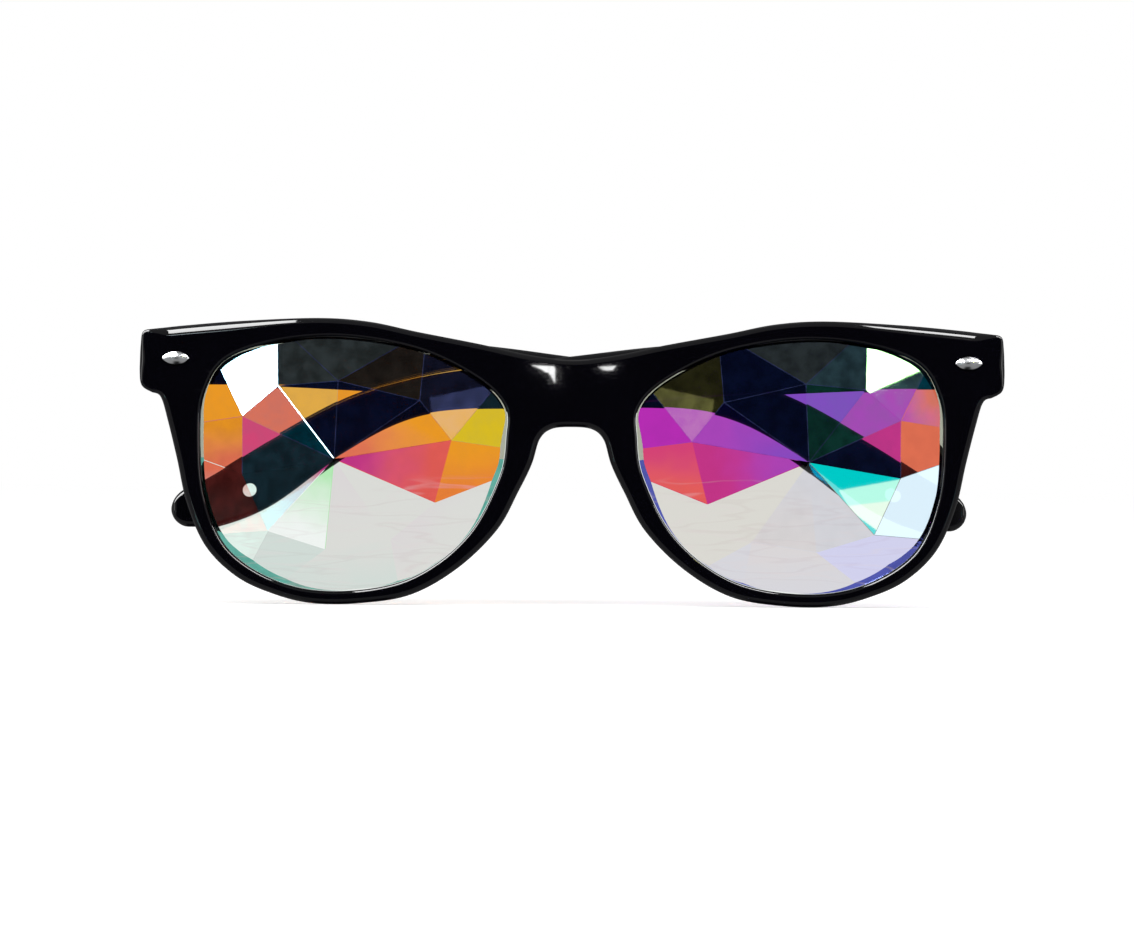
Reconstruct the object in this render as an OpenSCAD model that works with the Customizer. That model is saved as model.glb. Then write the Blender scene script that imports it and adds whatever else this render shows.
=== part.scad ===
// Party glasses with faceted prism lenses, folded, standing as they are worn.
// X runs along the front to the viewer's right, the front faces -Y and Z is up.
// The origin is the saddle: the underside of the bridge arch, at mid depth.

/* [Lenses] */
// Width of one lens opening in the front
lens_w = 51.9; // [44:0.1:60]
// Height of one lens opening
lens_h = 43.1; // [36:0.1:48]
// Height of the lens openings' middle above the saddle
lens_z = -6.5; // [-9:0.1:-4]
// Distance between the two lens openings across the bridge
bridge_gap = 22.1; // [18:0.1:28]
// Height of a lens's middle point above its rim, along the line of sight
crown_rise = 4.4; // [3:0.1:7]
// Mean slope of the facets round the middle point, in degrees
inner_slope = 6.5; // [4:0.5:8]
// Mean slope of the facets that run down to the rim, in degrees
outer_slope = 13; // [8:0.5:18]
// Thickness of the lens plate whose edge sits in the rim's groove
plate_t = 1.3; // [1:0.1:2]
// Room between a lens and its groove and opening, on each side
lens_clear = 0.1; // [0.05:0.01:0.2]

/* [Front frame] */
// Depth of the rims from front to back
frame_t = 4.4; // [3.6:0.1:6]
// Width of the rim over a lens
rim_top = 2.9; // [2.4:0.1:5]
// Width of the rim beside a lens, on the outer side
rim_side = 3.9; // [3:0.1:5]
// Width of the rim under a lens
rim_bottom = 2.2; // [1.9:0.1:4]
// Width of the rim beside the nose
rim_nose = 3.9; // [3.2:0.1:6]
// Reach of the end piece past the lens opening
end_reach = 10.2; // [9:0.1:13]
// Height of the end piece's upper corner above the saddle
end_top = 16.1; // [15:0.1:18]
// Height of the end piece's lower corner above the saddle
end_low = 5.7; // [4.6:0.1:6.2]
// Height of the bridge from the saddle to the brow
bridge_h = 11.35; // [8:0.05:14]
// Depth of the groove that holds a lens
groove_d = 0.8; // [0.5:0.05:1.2]
// Rounding of the front's outer edge
edge_r = 0.95; // [0.5:0.05:1.1]
// Rounding of the brow's front edge over the end pieces
brow_r = 1.7; // [1:0.1:2.2]
// Rounding of the front's edges at the end pieces' corners
corner_r = 0.45; // [0.3:0.05:0.6]
// Rounding of the rim's edge at a lens
lip_r = 0.45; // [0.2:0.05:0.6]
// How far a nose pad stands back from the rim
pad_d = 3.2; // [1.5:0.1:4.5]
// Height of the block at the back of an end piece, which carries the hinge
boss_d = 1.4; // [1:0.1:2]

/* [Hinges] */
// Distance of the hinge axis inboard of the end piece's tip
axis_in = 5.8; // [5.5:0.1:6.6]
// Height of the hinge's middle above the saddle
hinge_z = 11; // [10:0.1:12]
// Radius of the hinge barrel
barrel_r = 1.6; // [1.4:0.05:1.7]
// Radius of the hinge screw
screw_r = 0.7; // [0.6:0.05:0.8]
// Running clearance round the screw in the temple's knuckle
run_clear = 0.05; // [0.02:0.01:0.09]
// Height of each outer knuckle
knuckle_h = 2.2; // [1.8:0.1:2.6]
// Height of the middle knuckle
mid_h = 2.5; // [2:0.1:3]
// Gap between two knuckles
knuckle_gap = 0.15; // [0.1:0.01:0.25]
// Thickness of a hinge leaf
leaf_t = 0.8; // [0.6:0.05:1]
// Length of a hinge leaf from the axis
leaf_len = 5.4; // [5:0.1:6.5]
// Radius of a leaf rivet
rivet_r = 0.5; // [0.4:0.05:0.6]
// Distance of the two rivets from the hinge's middle height
rivet_dz = 2.6; // [2.2:0.1:3]

/* [Studs] */
// Length of a pointed oval stud
stud_l = 4.6; // [3.6:0.1:5]
// Height of a pointed oval stud
stud_h = 2.3; // [1.8:0.1:2.6]
// How far the stud's crown stands out of the face round it
stud_rise = 0.75; // [0.5:0.05:1.2]
// Depth of the recess that the stud sits in
recess_d = 0.35; // [0.2:0.05:0.5]
// Room round the stud in its recess
recess_gap = 0.2; // [0.1:0.05:0.3]
// Distance of the front studs from the end piece's tip
stud_in = 6.1; // [5:0.1:7]
// Height of the front studs above the saddle
stud_z = 11.2; // [10:0.1:12]

/* [Temples] */
// Length of a temple from the hinge axis to its tip, seen from the side
temple_len = 135.4; // [125:0.1:145]
// Thickness of a temple
temple_t = 3.4; // [2.8:0.1:3.6]
// Extra thickness of the temple at the hinge end
root_extra = 0.2; // [0:0.05:0.4]
// Height of the temple at the hinge end
root_h = 10.2; // [8.6:0.1:11]
// Height of the temple at its narrowest, before the bend
waist_h = 7.3; // [6:0.1:9]
// Drop of the tip below the saddle
tip_drop = 14.9; // [11:0.1:18]
// Length of the ear piece behind the bend
ear_len = 41.6; // [36:0.1:50]
// Height of the ear piece near its tip, measured upright
ear_h = 10.9; // [8:0.1:13]
// Rounding of a temple's edges
temple_r = 1; // [0.5:0.05:1.2]
// Radius of the cord hole in a temple's tip
hole_r = 1.1; // [0.8:0.05:1.4]
// Distance of the cord hole from the tip
hole_in = 13.9; // [10:0.1:18]
// Height of the cord hole above the tip
hole_up = 4; // [3:0.1:5]
// Gap between the two folded temples
fold_gap = 0.5; // [0.4:0.05:0.6]

/* [Quality] */
// Steps between two points of the front's outline
outline_steps = 3; // [2:1:4]
// Steps between two points of a temple's outline
temple_steps = 5; // [3:1:8]

/* [Hidden] */
$fn = 64;
front_y = -frame_t / 2;
back_y = frame_t / 2;
lens_x = bridge_gap / 2 + lens_w / 2;
end_x = bridge_gap / 2 + lens_w + end_reach;
plate_y = 0.25;
groove_w = plate_t + 2 * lens_clear;
boss_y = back_y + boss_d;
axis_x = end_x - axis_in;
axis_y = boss_y + barrel_r;
inner_t = barrel_r + 0.3;
outer_t = inner_t + temple_t;
butt_s = -1.2;
hinge_h = 2 * knuckle_h + mid_h + 2 * knuckle_gap;
fold_tilt = asin((temple_t + fold_gap) / (2 * axis_x));
head_r = rivet_r + 0.4;
head_t = 0.35;
pin_r = 0.55;
pin_len = 1.5;
pin_clear = 0.03;
leaf_arm = barrel_r + 0.3;
section_points = 16;
bridge_steps = 6;
// The node to draw

black = [0.06, 0.06, 0.07];
silver = [0.8, 0.81, 0.83];
steel = [0.6, 0.61, 0.63];
violet = [0.62, 0.45, 0.75, 0.6];
amber = [0.85, 0.6, 0.4, 0.6];

// A point of the smooth curve that passes through b and c, at fraction f between them
function curve(a, b, c, d, f) =
    0.5 * (2 * b + (c - a) * f + (2 * a - 5 * b + 4 * c - d) * f * f
           + (3 * b - a - 3 * c + d) * f * f * f);
// A point of the closed curve through p, t being a count of its points
function ring_at(p, t) =
    let (n = len(p), i = floor(t), f = t - i)
    curve(p[(i - 1 + n) % n], p[(i + n) % n], p[(i + 1) % n], p[(i + 2) % n], f);
// The open curve through p, m steps between two of its points, or 1 where they are close
function steps_from(a, b, m) = norm(b - a) < 1.5 ? 1 : m;
function path_through(p, m, first, last) =
    [for (i = [0:len(p) - 2]) let (n = steps_from(p[i], p[i + 1], m)) for (j = [0:n - 1])
        curve(i == 0 ? first : p[i - 1], p[i], p[i + 1],
              i == len(p) - 2 ? last : p[i + 2], j / n),
     p[len(p) - 1]];
// The direction square to d, on its left
function left_of(d) = [-d[1], d[0]] / norm(d);
// 0 below a, 1 above b, and smooth between
function ease(a, b, x) =
    let (q = max(0, min(1, (x - a) / (b - a)))) q * q * (3 - 2 * q);

// The lens opening, in halves of its width and height, from the nose over the top
lens_shape = [[-0.99, 0.46], [-0.81, 0.68], [-0.43, 0.9], [0.06, 1], [0.5, 0.96],
              [0.83, 0.82], [0.97, 0.56], [1, 0.23], [0.965, -0.26], [0.81, -0.68],
              [0.46, -0.94], [0.05, -1], [-0.39, -0.89], [-0.75, -0.56], [-0.955, -0.1],
              [-1, 0.22]];
function opening(t) =
    let (q = ring_at(lens_shape, t)) [lens_x + q[0] * lens_w / 2, lens_z + q[1] * lens_h / 2];
function opening_out(t) = left_of(opening(t + 0.05) - opening(t - 0.05));
// A point outside the opening by w, paired with the opening's point t
function rim(t, w) = let (q = opening(t) + w * opening_out(t)) [q[0], q[1], t];

// The right half of the front's outline, each point with its partner on the opening
half_outline = [
    [0, bridge_h, 0.5], [7.1, bridge_h + 0.75, 1], [15.8, bridge_h + 2.6, 1.5],
    rim(2.1, rim_top - 0.1), rim(2.7, rim_top), rim(3.35, rim_top + 0.2),
    [end_x - 17.5, end_top + 1.5, 4.15], [end_x - 8, end_top + 0.7, 4.75],
    [end_x - 3.6, end_top + 0.2, 5.1], [end_x - 2, end_top, 5.2],
    [end_x - 1.15, end_top - 0.12, 5.27], [end_x - 0.6, end_top - 0.42, 5.33],
    [end_x - 0.33, end_top - 1, 5.4], [end_x - 0.22, end_top - 2, 5.46],
    [end_x - 0.08, end_top - 3.8, 5.57], [end_x, end_top - 6.2, 5.7],
    [end_x - 0.03, end_low + 2.8, 5.78], [end_x - 0.13, end_low + 1.6, 5.84],
    [end_x - 0.45, end_low + 0.75, 5.88], [end_x - 1.1, end_low + 0.2, 5.92],
    [end_x - 2.1, end_low - 0.3, 5.97], [end_x - 3.6, end_low - 1.1, 6.1],
    rim(6.75, rim_side + 1.5), rim(7.4, rim_side), rim(8.05, rim_side - 0.7),
    rim(8.75, rim_side - 1.15), rim(9.35, rim_bottom + 0.3), rim(9.9, rim_bottom),
    rim(10.5, rim_bottom), rim(11.2, rim_bottom), rim(11.9, rim_bottom + 0.4),
    rim(12.6, rim_nose - 1.1), rim(13.3, rim_nose - 0.4), rim(13.9, rim_nose),
    [6.7, -6.3, 14.55], [5.4, -2.1, 15.05], [3.4, -0.35, 15.35], [0, 0, 15.6]];
outer_path = path_through(half_outline, outline_steps,
    [-half_outline[1][0], half_outline[1][1], 0],
    [-half_outline[len(half_outline) - 2][0], half_outline[len(half_outline) - 2][1], 16]);
outer_n = len(outer_path);
half_n = outer_n + bridge_steps - 1;
// Stations past the outline's end climb the bridge's middle, from the saddle to the brow
function on_bridge(k) = k >= outer_n;
function station(k) =
    on_bridge(k)
    ? let (q = (k - outer_n + 1) / bridge_steps)
      [0, brow_r + q * (bridge_h - 2 * brow_r), 15.6 + 0.9 * q]
    : outer_path[k];
function outer_out(k) =
    k == 0 ? [0, 1] : k >= outer_n - 1 ? [0, -1]
    : left_of([for (i = [0, 1]) outer_path[k + 1][i] - outer_path[k - 1][i]]);

// Rounding of the outer front edge: wider along the brow over the end piece
function front_round(p) =
    edge_r + (brow_r - edge_r) * ease(end_x - 30, end_x - 12, p[0]) * ease(end_top - 2.2, end_top - 0.4, p[1]);
// Rounding r at p, less where the outline turns round the end piece's two corners
function less_at_corners(p, r) =
    let (d = min(norm(p - [end_x - 0.6, end_top - 0.6]), norm(p - [end_x - 0.8, end_low + 0.6])))
    corner_r + (r - corner_r) * ease(0.3, 5, d);
// How much of the nose pad there is at partner t
function pad(t) = ease(12.5, 13.7, t) * (1 - ease(14.3, 15.1, t));

// The rim's section at station k: groove, front lip, front, outer edge, back, back lip
function section(k) =
    let (s = station(k), t = s[2], i = opening(t), ni = opening_out(t),
         o = [s[0], s[1]], no = outer_out(k),
         r = less_at_corners(o, front_round(o)), b = less_at_corners(o, edge_r),
         m = pad(t), back = back_y + pad_d * m, flare = 1.3 * m,
         lift = 1 - cos(45), g0 = plate_y - groove_w / 2, g1 = plate_y + groove_w / 2)
    [for (q = [
        [i, ni, groove_d, g0], [i, ni, 0, g0],
        [i, ni, 0, front_y + lip_r], [i, ni, lift * lip_r, front_y + lift * lip_r],
        [i, ni, lip_r, front_y],
        [o, no, on_bridge(k) ? 0 : -r, front_y],
        [o, no, on_bridge(k) ? 0 : -lift * r, front_y + lift * r],
        [o, no, 0, front_y + r],
        [o, no, on_bridge(k) ? 0 : -flare, back - b],
        [o, no, on_bridge(k) ? 0 : -flare - lift * b, back - lift * b],
        [o, no, on_bridge(k) ? 0 : -flare - b, on_bridge(k) ? back_y : back],
        [i, ni, lip_r, back_y], [i, ni, lift * lip_r, back_y - lift * lip_r],
        [i, ni, 0, back_y - lip_r], [i, ni, 0, g1], [i, ni, groove_d, g1]])
        let (p = q[0] + q[2] * q[1]) [p[0], q[3], p[1]]];

// The whole front is one closed skin: both halves share their points at the bridge's middle
module front_skin() {
    n = half_n;
    m = section_points;
    right = [for (k = [0:n - 1]) each section(k)];
    left = [for (p = right) [-p[0], p[1], p[2]]];
    function shared(k, j) = (k == 0 || k >= outer_n - 1) && j >= 5 && j <= 10;
    function at(h, k, j) = (h == 1 && !shared(k, j) ? n * m : 0) + k * m + j;
    function open_strip(k, j) = (k >= outer_n - 1) && j >= 5 && j <= 9;
    faces = [for (h = [0, 1], k = [0:n - 1], j = [0:m - 1]) if (!open_strip(k, j))
        let (k1 = (k + 1) % n, j1 = (j + 1) % m,
             f = [at(h, k, j), at(h, k, j1), at(h, k1, j1), at(h, k1, j)])
        each (h == 0 ? [[f[0], f[1], f[2]], [f[0], f[2], f[3]]]
                     : [[f[2], f[1], f[0]], [f[3], f[2], f[0]]])];
    polyhedron(points = concat(right, left), faces = faces, convexity = 10);
}

// A prism whose outline lies in the XZ plane, from depth y0 to y1
module slab(y0, y1) {
    translate([0, y1, 0]) rotate([90, 0, 0]) linear_extrude(height = y1 - y0) children();
}
// A cylinder along Y, from depth y0 to y1
module peg(x, z, r, y0, y1) {
    translate([x, y1, z]) rotate([90, 0, 0]) cylinder(r = r, h = y1 - y0);
}

// The pointed oval: two arcs that meet at its ends, grown by gap
module oval(y0, y1, gap) {
    a = stud_l / 2;
    b = stud_h / 2;
    r = (a * a + b * b) / (2 * b);
    intersection() {
        peg(0, b - r, r + gap, y0, y1);
        peg(0, r - b, r + gap, y0, y1);
    }
}
// A domed stud on the plane y = 0, crown towards -Y, with a pin behind it
module stud() {
    dome_r = 3.9;
    union() {
        intersection() {
            oval(-stud_rise, recess_d - 0.02, 0);
            translate([0, dome_r - stud_rise, 0]) sphere(r = dome_r, $fn = 96);
        }
        peg(0, 0, pin_r, recess_d - 0.1, recess_d + pin_len);
    }
}
// What a stud takes out of the body under it
module stud_seat() {
    oval(-2, recess_d, recess_gap);
    peg(0, 0, pin_r + pin_clear, 0, recess_d + pin_len + 0.1);
}

// The block at the back of the right end piece, behind the groove and clear of the opening
module boss() {
    difference() {
        slab(plate_y + groove_w / 2 + 0.2, boss_y)
            polygon([[axis_x - leaf_len - 0.6, end_low + 1.4], [axis_x - leaf_len + 0.4, end_low + 0.4],
                     [end_x - 1.7, end_low + 0.7], [end_x - 1.2, end_low + 1.3],
                     [end_x - 0.9, end_top - 5.5], [end_x - 1.3, end_top - 1.5],
                     [end_x - 1.9, end_top - 0.9], [axis_x - leaf_len + 0.6, end_top - 0.6],
                     [axis_x - leaf_len - 0.6, end_top - 1.6]]);
        slab(plate_y, boss_y + 1) lens_outline(lip_r + 0.15);
    }
}
module front_leaf_holes(r) {
    for (dz = [-rivet_dz, rivet_dz])
        peg(axis_x - leaf_len + 1.9, hinge_z + dz, r, boss_y - 2.2, boss_y + 2);
}
module front_frame() {
    color(black)
    difference() {
        union() {
            front_skin();
            for (side = [0, 1]) mirror([side, 0, 0]) boss();
        }
        for (side = [0, 1]) mirror([side, 0, 0]) {
            translate([end_x - stud_in, front_y, stud_z]) stud_seat();
            front_leaf_holes(rivet_r + pin_clear);
        }
    }
}

// The facets' corners round a lens's middle point, from the top towards the temple:
// x and z from that point, and the share of the inner slope at which each one lies
lens_mid = [lens_x + 3, lens_z + 0.8];
corners = [[-0.5, 13.2, 1.3], [9.6, 12.3, 1.05], [15.6, 7.1, 0.9], [15.6, -2.6, 1.06],
           [11.2, -12.2, 0.89], [1.5, -15.2, 1.12], [-9.5, -13.5, 0.935], [-17, -7.2, 0.87],
           [-19.7, 3.3, 0.6], [-14.3, 10, 1.01]];
// Slope of the facet between each corner and the next, as a share of the outer slope
side_slopes = [0.956, 1.185, 0.826, 0.96, 1.013, 1.454, 1.387, 0.718, 1.039, 0.964];
// The facets that start at one corner: the corner, the way they face, and their slope
tip_facets = [[0, 95.9, 1.139], [2, 40.6, 1.261], [4, -35.3, 1.087], [6, -119.2, 1.533],
              [8, 137.1, 1.095]];
lens_front = plate_y - plate_t / 2;
function corner_at(i) =
    let (p = corners[i], d = norm([p[0], p[1]]) * p[2] * tan(inner_slope))
    [lens_mid[0] + p[0], lens_front - crown_rise + d, lens_mid[1] + p[1]];

// A facet is a point of it, its slope, and the way it faces; this one goes through a, b and c
function facet_through(a, b, c) =
    let (n = cross(b - a, c - a) / norm(cross(b - a, c - a)), out = n[1] > 0 ? -n : n)
    [a, acos(-out[1]), atan2(out[2], out[0])];
facets =
    let (n = len(corners), top = [lens_mid[0], lens_front - crown_rise, lens_mid[1]],
         c = [for (i = [0:n]) corner_at(i % n)])
    concat([for (i = [0:n - 1]) facet_through(top, c[i], c[i + 1])],
           [for (i = [0:n - 1])
               let (out = left_of([c[i + 1][0] - c[i][0], c[i + 1][2] - c[i][2]]))
               facet_through(c[i], c[i + 1],
                             c[i] + [out[0], side_slopes[i] * tan(outer_slope), out[1]])],
           [for (f = tip_facets) [c[f[0]], atan(f[2] * tan(outer_slope)), f[1]]]);

// Its child with the first k facets ground on it, each by a block that takes off all in front
module ground(k) {
    big = 90;
    if (k == 0) children();
    else difference() {
        ground(k - 1) children();
        translate(facets[k - 1][0]) rotate([0, -facets[k - 1][2], 0]) rotate([0, 0, facets[k - 1][1]])
            translate([-big / 2, -big, -big / 2]) cube(big);
    }
}
// The opening's outline, grown, with a corner at each of the rim's stations
module lens_outline(grow) {
    polygon([for (k = [0:half_n - 1]) let (t = station(k)[2]) opening(t) + grow * opening_out(t)]);
}
module lens() {
    union() {
        slab(lens_front, lens_front + plate_t) lens_outline(groove_d - lens_clear);
        ground(len(facets))
            slab(lens_front - crown_rise - 1, plate_y) lens_outline(-lens_clear);
    }
}
module left_lens() { color(amber) mirror([1, 0, 0]) lens(); }
module right_lens() { color(violet) lens(); }

module front_stud() {
    color(silver) translate([end_x - stud_in, front_y, stud_z]) stud();
}
module left_front_stud() { mirror([1, 0, 0]) front_stud(); }
module right_front_stud() { front_stud(); }

// Knuckles on the hinge axis, each given as its lowest and highest z
module knuckles(spans, bore) {
    for (s = spans) difference() {
        translate([0, 0, s[0]]) cylinder(r = barrel_r, h = s[1] - s[0]);
        translate([0, 0, s[0] - 1]) cylinder(r = bore, h = s[1] - s[0] + 2);
    }
}
low_knuckle = [hinge_z - hinge_h / 2, hinge_z - hinge_h / 2 + knuckle_h];
mid_knuckle = [hinge_z - mid_h / 2, hinge_z + mid_h / 2];
top_knuckle = [hinge_z + hinge_h / 2 - knuckle_h, hinge_z + hinge_h / 2];

// A leaf that lies along -X from its knuckles, its seat at y = -barrel_r
module leaf(spans, bore) {
    difference() {
        union() {
            translate([-leaf_len, -barrel_r, low_knuckle[0]])
                cube([leaf_len - leaf_arm, leaf_t, hinge_h]);
            for (s = spans) {
                translate([-leaf_arm - 0.1, -barrel_r, s[0]])
                    cube([leaf_arm + 0.1, leaf_t, s[1] - s[0]]);
                translate([0, 0, s[0]]) cylinder(r = barrel_r, h = s[1] - s[0]);
            }
        }
        for (s = spans)
            translate([0, 0, s[0] - 0.05]) cylinder(r = bore, h = s[1] - s[0] + 0.1);
        for (dz = [-rivet_dz, rivet_dz])
            peg(1.9 - leaf_len, hinge_z + dz, rivet_r + pin_clear, -barrel_r - 1, leaf_t + 1 - barrel_r);
    }
}
module rivets() {
    for (dz = [-rivet_dz, rivet_dz]) {
        peg(1.9 - leaf_len, hinge_z + dz, rivet_r, -barrel_r - 2, leaf_t - barrel_r + 0.02);
        peg(1.9 - leaf_len, hinge_z + dz, head_r, leaf_t - barrel_r, leaf_t - barrel_r + head_t);
    }
}
module on_axis() { translate([axis_x, axis_y, 0]) children(); }

module front_hinge_leaf() {
    color(steel) on_axis() leaf([low_knuckle, top_knuckle], screw_r + 0.02);
}
module left_front_hinge_leaf() { mirror([1, 0, 0]) front_hinge_leaf(); }
module right_front_hinge_leaf() { front_hinge_leaf(); }
module left_front_leaf_rivets() { color(silver) mirror([1, 0, 0]) on_axis() rivets(); }
module right_front_leaf_rivets() { color(silver) on_axis() rivets(); }

// The screw that the temple turns on, with its slotted head on top
module hinge_screw() {
    screw_head_r = barrel_r - 0.35;
    screw_head_t = 0.7;
    color(silver) on_axis() difference() {
        union() {
            translate([0, 0, low_knuckle[0]]) cylinder(r = screw_r, h = hinge_h + 0.1);
            translate([0, 0, top_knuckle[1]]) cylinder(r = screw_head_r, h = screw_head_t);
        }
        translate([-screw_head_r - 1, -0.15, top_knuckle[1] + screw_head_t - 0.3])
            cube([2 * screw_head_r + 2, 0.3, 1]);
    }
}
module left_hinge_screw() { mirror([1, 0, 0]) hinge_screw(); }
module right_hinge_screw() { hinge_screw(); }

// A temple in its own frame: s along +X from the hinge axis, thickness along +Y.
// Each row is s, the upper edge's z and the lower edge's z.
root_mid = 11.25;
bend_s = temple_len - ear_len;
tip_z = -tip_drop;
temple_rows = [
    [butt_s, root_mid + root_h / 2, root_mid - root_h / 2],
    [18, root_mid + root_h / 2 - 0.6, root_mid - root_h / 2 - 0.35],
    [bend_s - 46, 14.3, 4.2],
    [bend_s - 26.5, 12.1, 2.75],
    [bend_s - 8, 2.3 + waist_h, 2.3],
    [bend_s + 2, 7.5, 0.4],
    [bend_s + 12, tip_z + 19.1, tip_z + 10],
    [temple_len - 17.5, tip_z + 12.5, tip_z + 12.5 - ear_h - 0.3],
    [temple_len - 8.5, tip_z + 7, tip_z + 7 - ear_h + 1.6],
    [temple_len - 4, tip_z + 4.6, tip_z - 2.5],
    [temple_len, tip_z + 3.3, tip_z - 2.3]];
tip_round = 3;
function temple_edge() =
    path_through(temple_rows, temple_steps, temple_rows[0] - [5, 0, 0],
                 temple_rows[len(temple_rows) - 1] + [4, -2, 1]);
tip_cuts = [for (a = [0:15:75]) temple_len - tip_round * (1 - sin(a)), temple_len - 0.05];
function edge_between(p, s) =
    let (i = max([for (k = [0:len(p) - 2]) p[k][0] <= s ? k : 0]),
         f = (s - p[i][0]) / (p[i + 1][0] - p[i][0])) p[i] + f * (p[i + 1] - p[i]);
// The edge rows up to the rounded tip, then rows that close on the tip
function temple_stations() =
    let (p = temple_edge())
    concat([for (q = p) if (q[0] < temple_len - tip_round - 0.5) q],
           [for (s = tip_cuts) let (q = edge_between(p, s), m = (q[1] + q[2]) / 2,
                w = sqrt(1 - pow((s - temple_len + tip_round) / tip_round, 2)))
               [s, m + w * (q[1] - m), m + w * (q[2] - m)]]);
function temple_section(q) =
    let (s = q[0], hi = q[1], lo = q[2], r = min(temple_r, (hi - lo) / 2.2),
         thin = min(1, (hi - lo) / 3.5),
         grow = root_extra * (1 - ease(8, 30, s)),
         mid = inner_t + temple_t / 2,
         y0 = mid - thin * temple_t / 2, y1 = mid + thin * temple_t / 2 + grow,
         e = min(r, (y1 - y0) / 2.2), c = 1 - cos(45))
    [[s, y0 + e, lo], [s, y1 - e, lo], [s, y1 - c * e, lo + c * r], [s, y1, lo + r],
     [s, y1, hi - r], [s, y1 - c * e, hi - c * r], [s, y1 - e, hi], [s, y0 + e, hi],
     [s, y0 + c * e, hi - c * r], [s, y0, hi - r], [s, y0, lo + r], [s, y0 + c * e, lo + c * r]];
module temple_skin() {
    rows = temple_stations();
    n = len(rows);
    m = 12;
    points = [for (q = rows) each temple_section(q)];
    faces = concat(
        [[for (j = [0:m - 1]) j]],
        [for (i = [0:n - 2], j = [0:m - 1]) let (k = (j + 1) % m)
            each [[i * m + j, (i + 1) * m + j, (i + 1) * m + k], [i * m + j, (i + 1) * m + k, i * m + k]]],
        [[for (j = [m - 1:-1:0]) (n - 1) * m + j]]);
    polyhedron(points = points, faces = faces, convexity = 6);
}
stud_s = 6.2;
hole_s = temple_len - hole_in;
hole_z = tip_z + hole_up;
module at_temple_stud() {
    translate([stud_s, inner_t + temple_t + root_extra, hinge_z]) rotate([0, 0, 180]) children();
}
module temple_shape() {
    difference() {
        temple_skin();
        at_temple_stud() stud_seat();
        peg(hole_s, hole_z, hole_r, inner_t - 2, outer_t + 2);
        for (dz = [-rivet_dz, rivet_dz])
            peg(leaf_len - 1.9, hinge_z + dz, rivet_r + pin_clear, 0, inner_t + 2.1);
    }
}
// A temple leaf lies on the temple's inner face
module temple_leaf_shape() {
    translate([0, inner_t - barrel_r, 0]) mirror([0, 1, 0]) mirror([1, 0, 0]) children();
}

// Puts a piece of a temple where it is when folded: the right temple lies under the left
module folded_left() { translate([-axis_x, axis_y, 0]) rotate([0, 0, fold_tilt]) children(); }
module folded_right() {
    mirror([1, 0, 0]) translate([-axis_x, axis_y, 0]) rotate([0, 0, -fold_tilt]) children();
}
module temple_leaf() {
    difference() {
        union() {
            translate([leaf_arm, inner_t - leaf_t, low_knuckle[0]])
                cube([leaf_len - leaf_arm, leaf_t, hinge_h]);
            translate([0, inner_t - leaf_t, mid_knuckle[0]])
                cube([leaf_arm + 0.1, leaf_t, mid_h]);
            translate([0, 0, mid_knuckle[0]]) cylinder(r = barrel_r, h = mid_h);
        }
        translate([0, 0, mid_knuckle[0] - 0.05]) cylinder(r = screw_r + run_clear, h = mid_h + 0.1);
        for (dz = [-rivet_dz, rivet_dz])
            peg(leaf_len - 1.9, hinge_z + dz, rivet_r + pin_clear, -1, inner_t + 1);
    }
}
module temple_rivets() {
    for (dz = [-rivet_dz, rivet_dz]) {
        peg(leaf_len - 1.9, hinge_z + dz, rivet_r, inner_t - leaf_t - 0.02, inner_t + 2);
        peg(leaf_len - 1.9, hinge_z + dz, head_r, inner_t - leaf_t - head_t, inner_t - leaf_t);
    }
}
module left_temple() { color(black) folded_left() temple_shape(); }
module right_temple() { color(black) folded_right() temple_shape(); }
module left_temple_stud() { color(silver) folded_left() at_temple_stud() stud(); }
module right_temple_stud() { color(silver) folded_right() at_temple_stud() stud(); }
module left_temple_hinge_leaf() { color(steel) folded_left() temple_leaf(); }
module right_temple_hinge_leaf() { color(steel) folded_right() temple_leaf(); }
module left_temple_leaf_rivets() { color(silver) folded_left() temple_rivets(); }
module right_temple_leaf_rivets() { color(silver) folded_right() temple_rivets(); }

front_frame();
left_lens();
right_lens();
left_front_stud();
right_front_stud();
left_front_hinge_leaf();
right_front_hinge_leaf();
left_front_leaf_rivets();
right_front_leaf_rivets();
left_hinge_screw();
right_hinge_screw();
left_temple();
right_temple();
left_temple_stud();
right_temple_stud();
left_temple_hinge_leaf();
right_temple_hinge_leaf();
left_temple_leaf_rivets();
right_temple_leaf_rivets();
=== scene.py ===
import logging
import math
from dataclasses import dataclass, field, replace
from enum import Enum
from typing import Sequence, Union

import bmesh
import bpy
import numpy as np
from mathutils import Matrix, Quaternion, Vector


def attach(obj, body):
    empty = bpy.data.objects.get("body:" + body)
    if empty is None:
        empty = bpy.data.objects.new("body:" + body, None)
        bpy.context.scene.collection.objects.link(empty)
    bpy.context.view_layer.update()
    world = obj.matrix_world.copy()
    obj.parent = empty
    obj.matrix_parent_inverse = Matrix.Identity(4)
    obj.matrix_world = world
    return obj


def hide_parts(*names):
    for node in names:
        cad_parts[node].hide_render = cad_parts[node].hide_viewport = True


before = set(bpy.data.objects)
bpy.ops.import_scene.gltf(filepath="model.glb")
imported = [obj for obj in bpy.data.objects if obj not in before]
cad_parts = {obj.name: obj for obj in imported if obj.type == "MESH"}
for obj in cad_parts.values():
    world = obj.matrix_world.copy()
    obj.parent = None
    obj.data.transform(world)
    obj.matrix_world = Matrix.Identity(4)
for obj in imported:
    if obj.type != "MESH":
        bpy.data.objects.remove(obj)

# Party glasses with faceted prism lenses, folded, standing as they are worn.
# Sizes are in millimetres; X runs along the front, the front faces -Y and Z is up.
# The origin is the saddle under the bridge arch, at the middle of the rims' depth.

log = logging.getLogger("party_glasses")
MM = 0.001
Point = Sequence[float]


def note_size() -> None:
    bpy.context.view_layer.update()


note_size()


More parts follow.
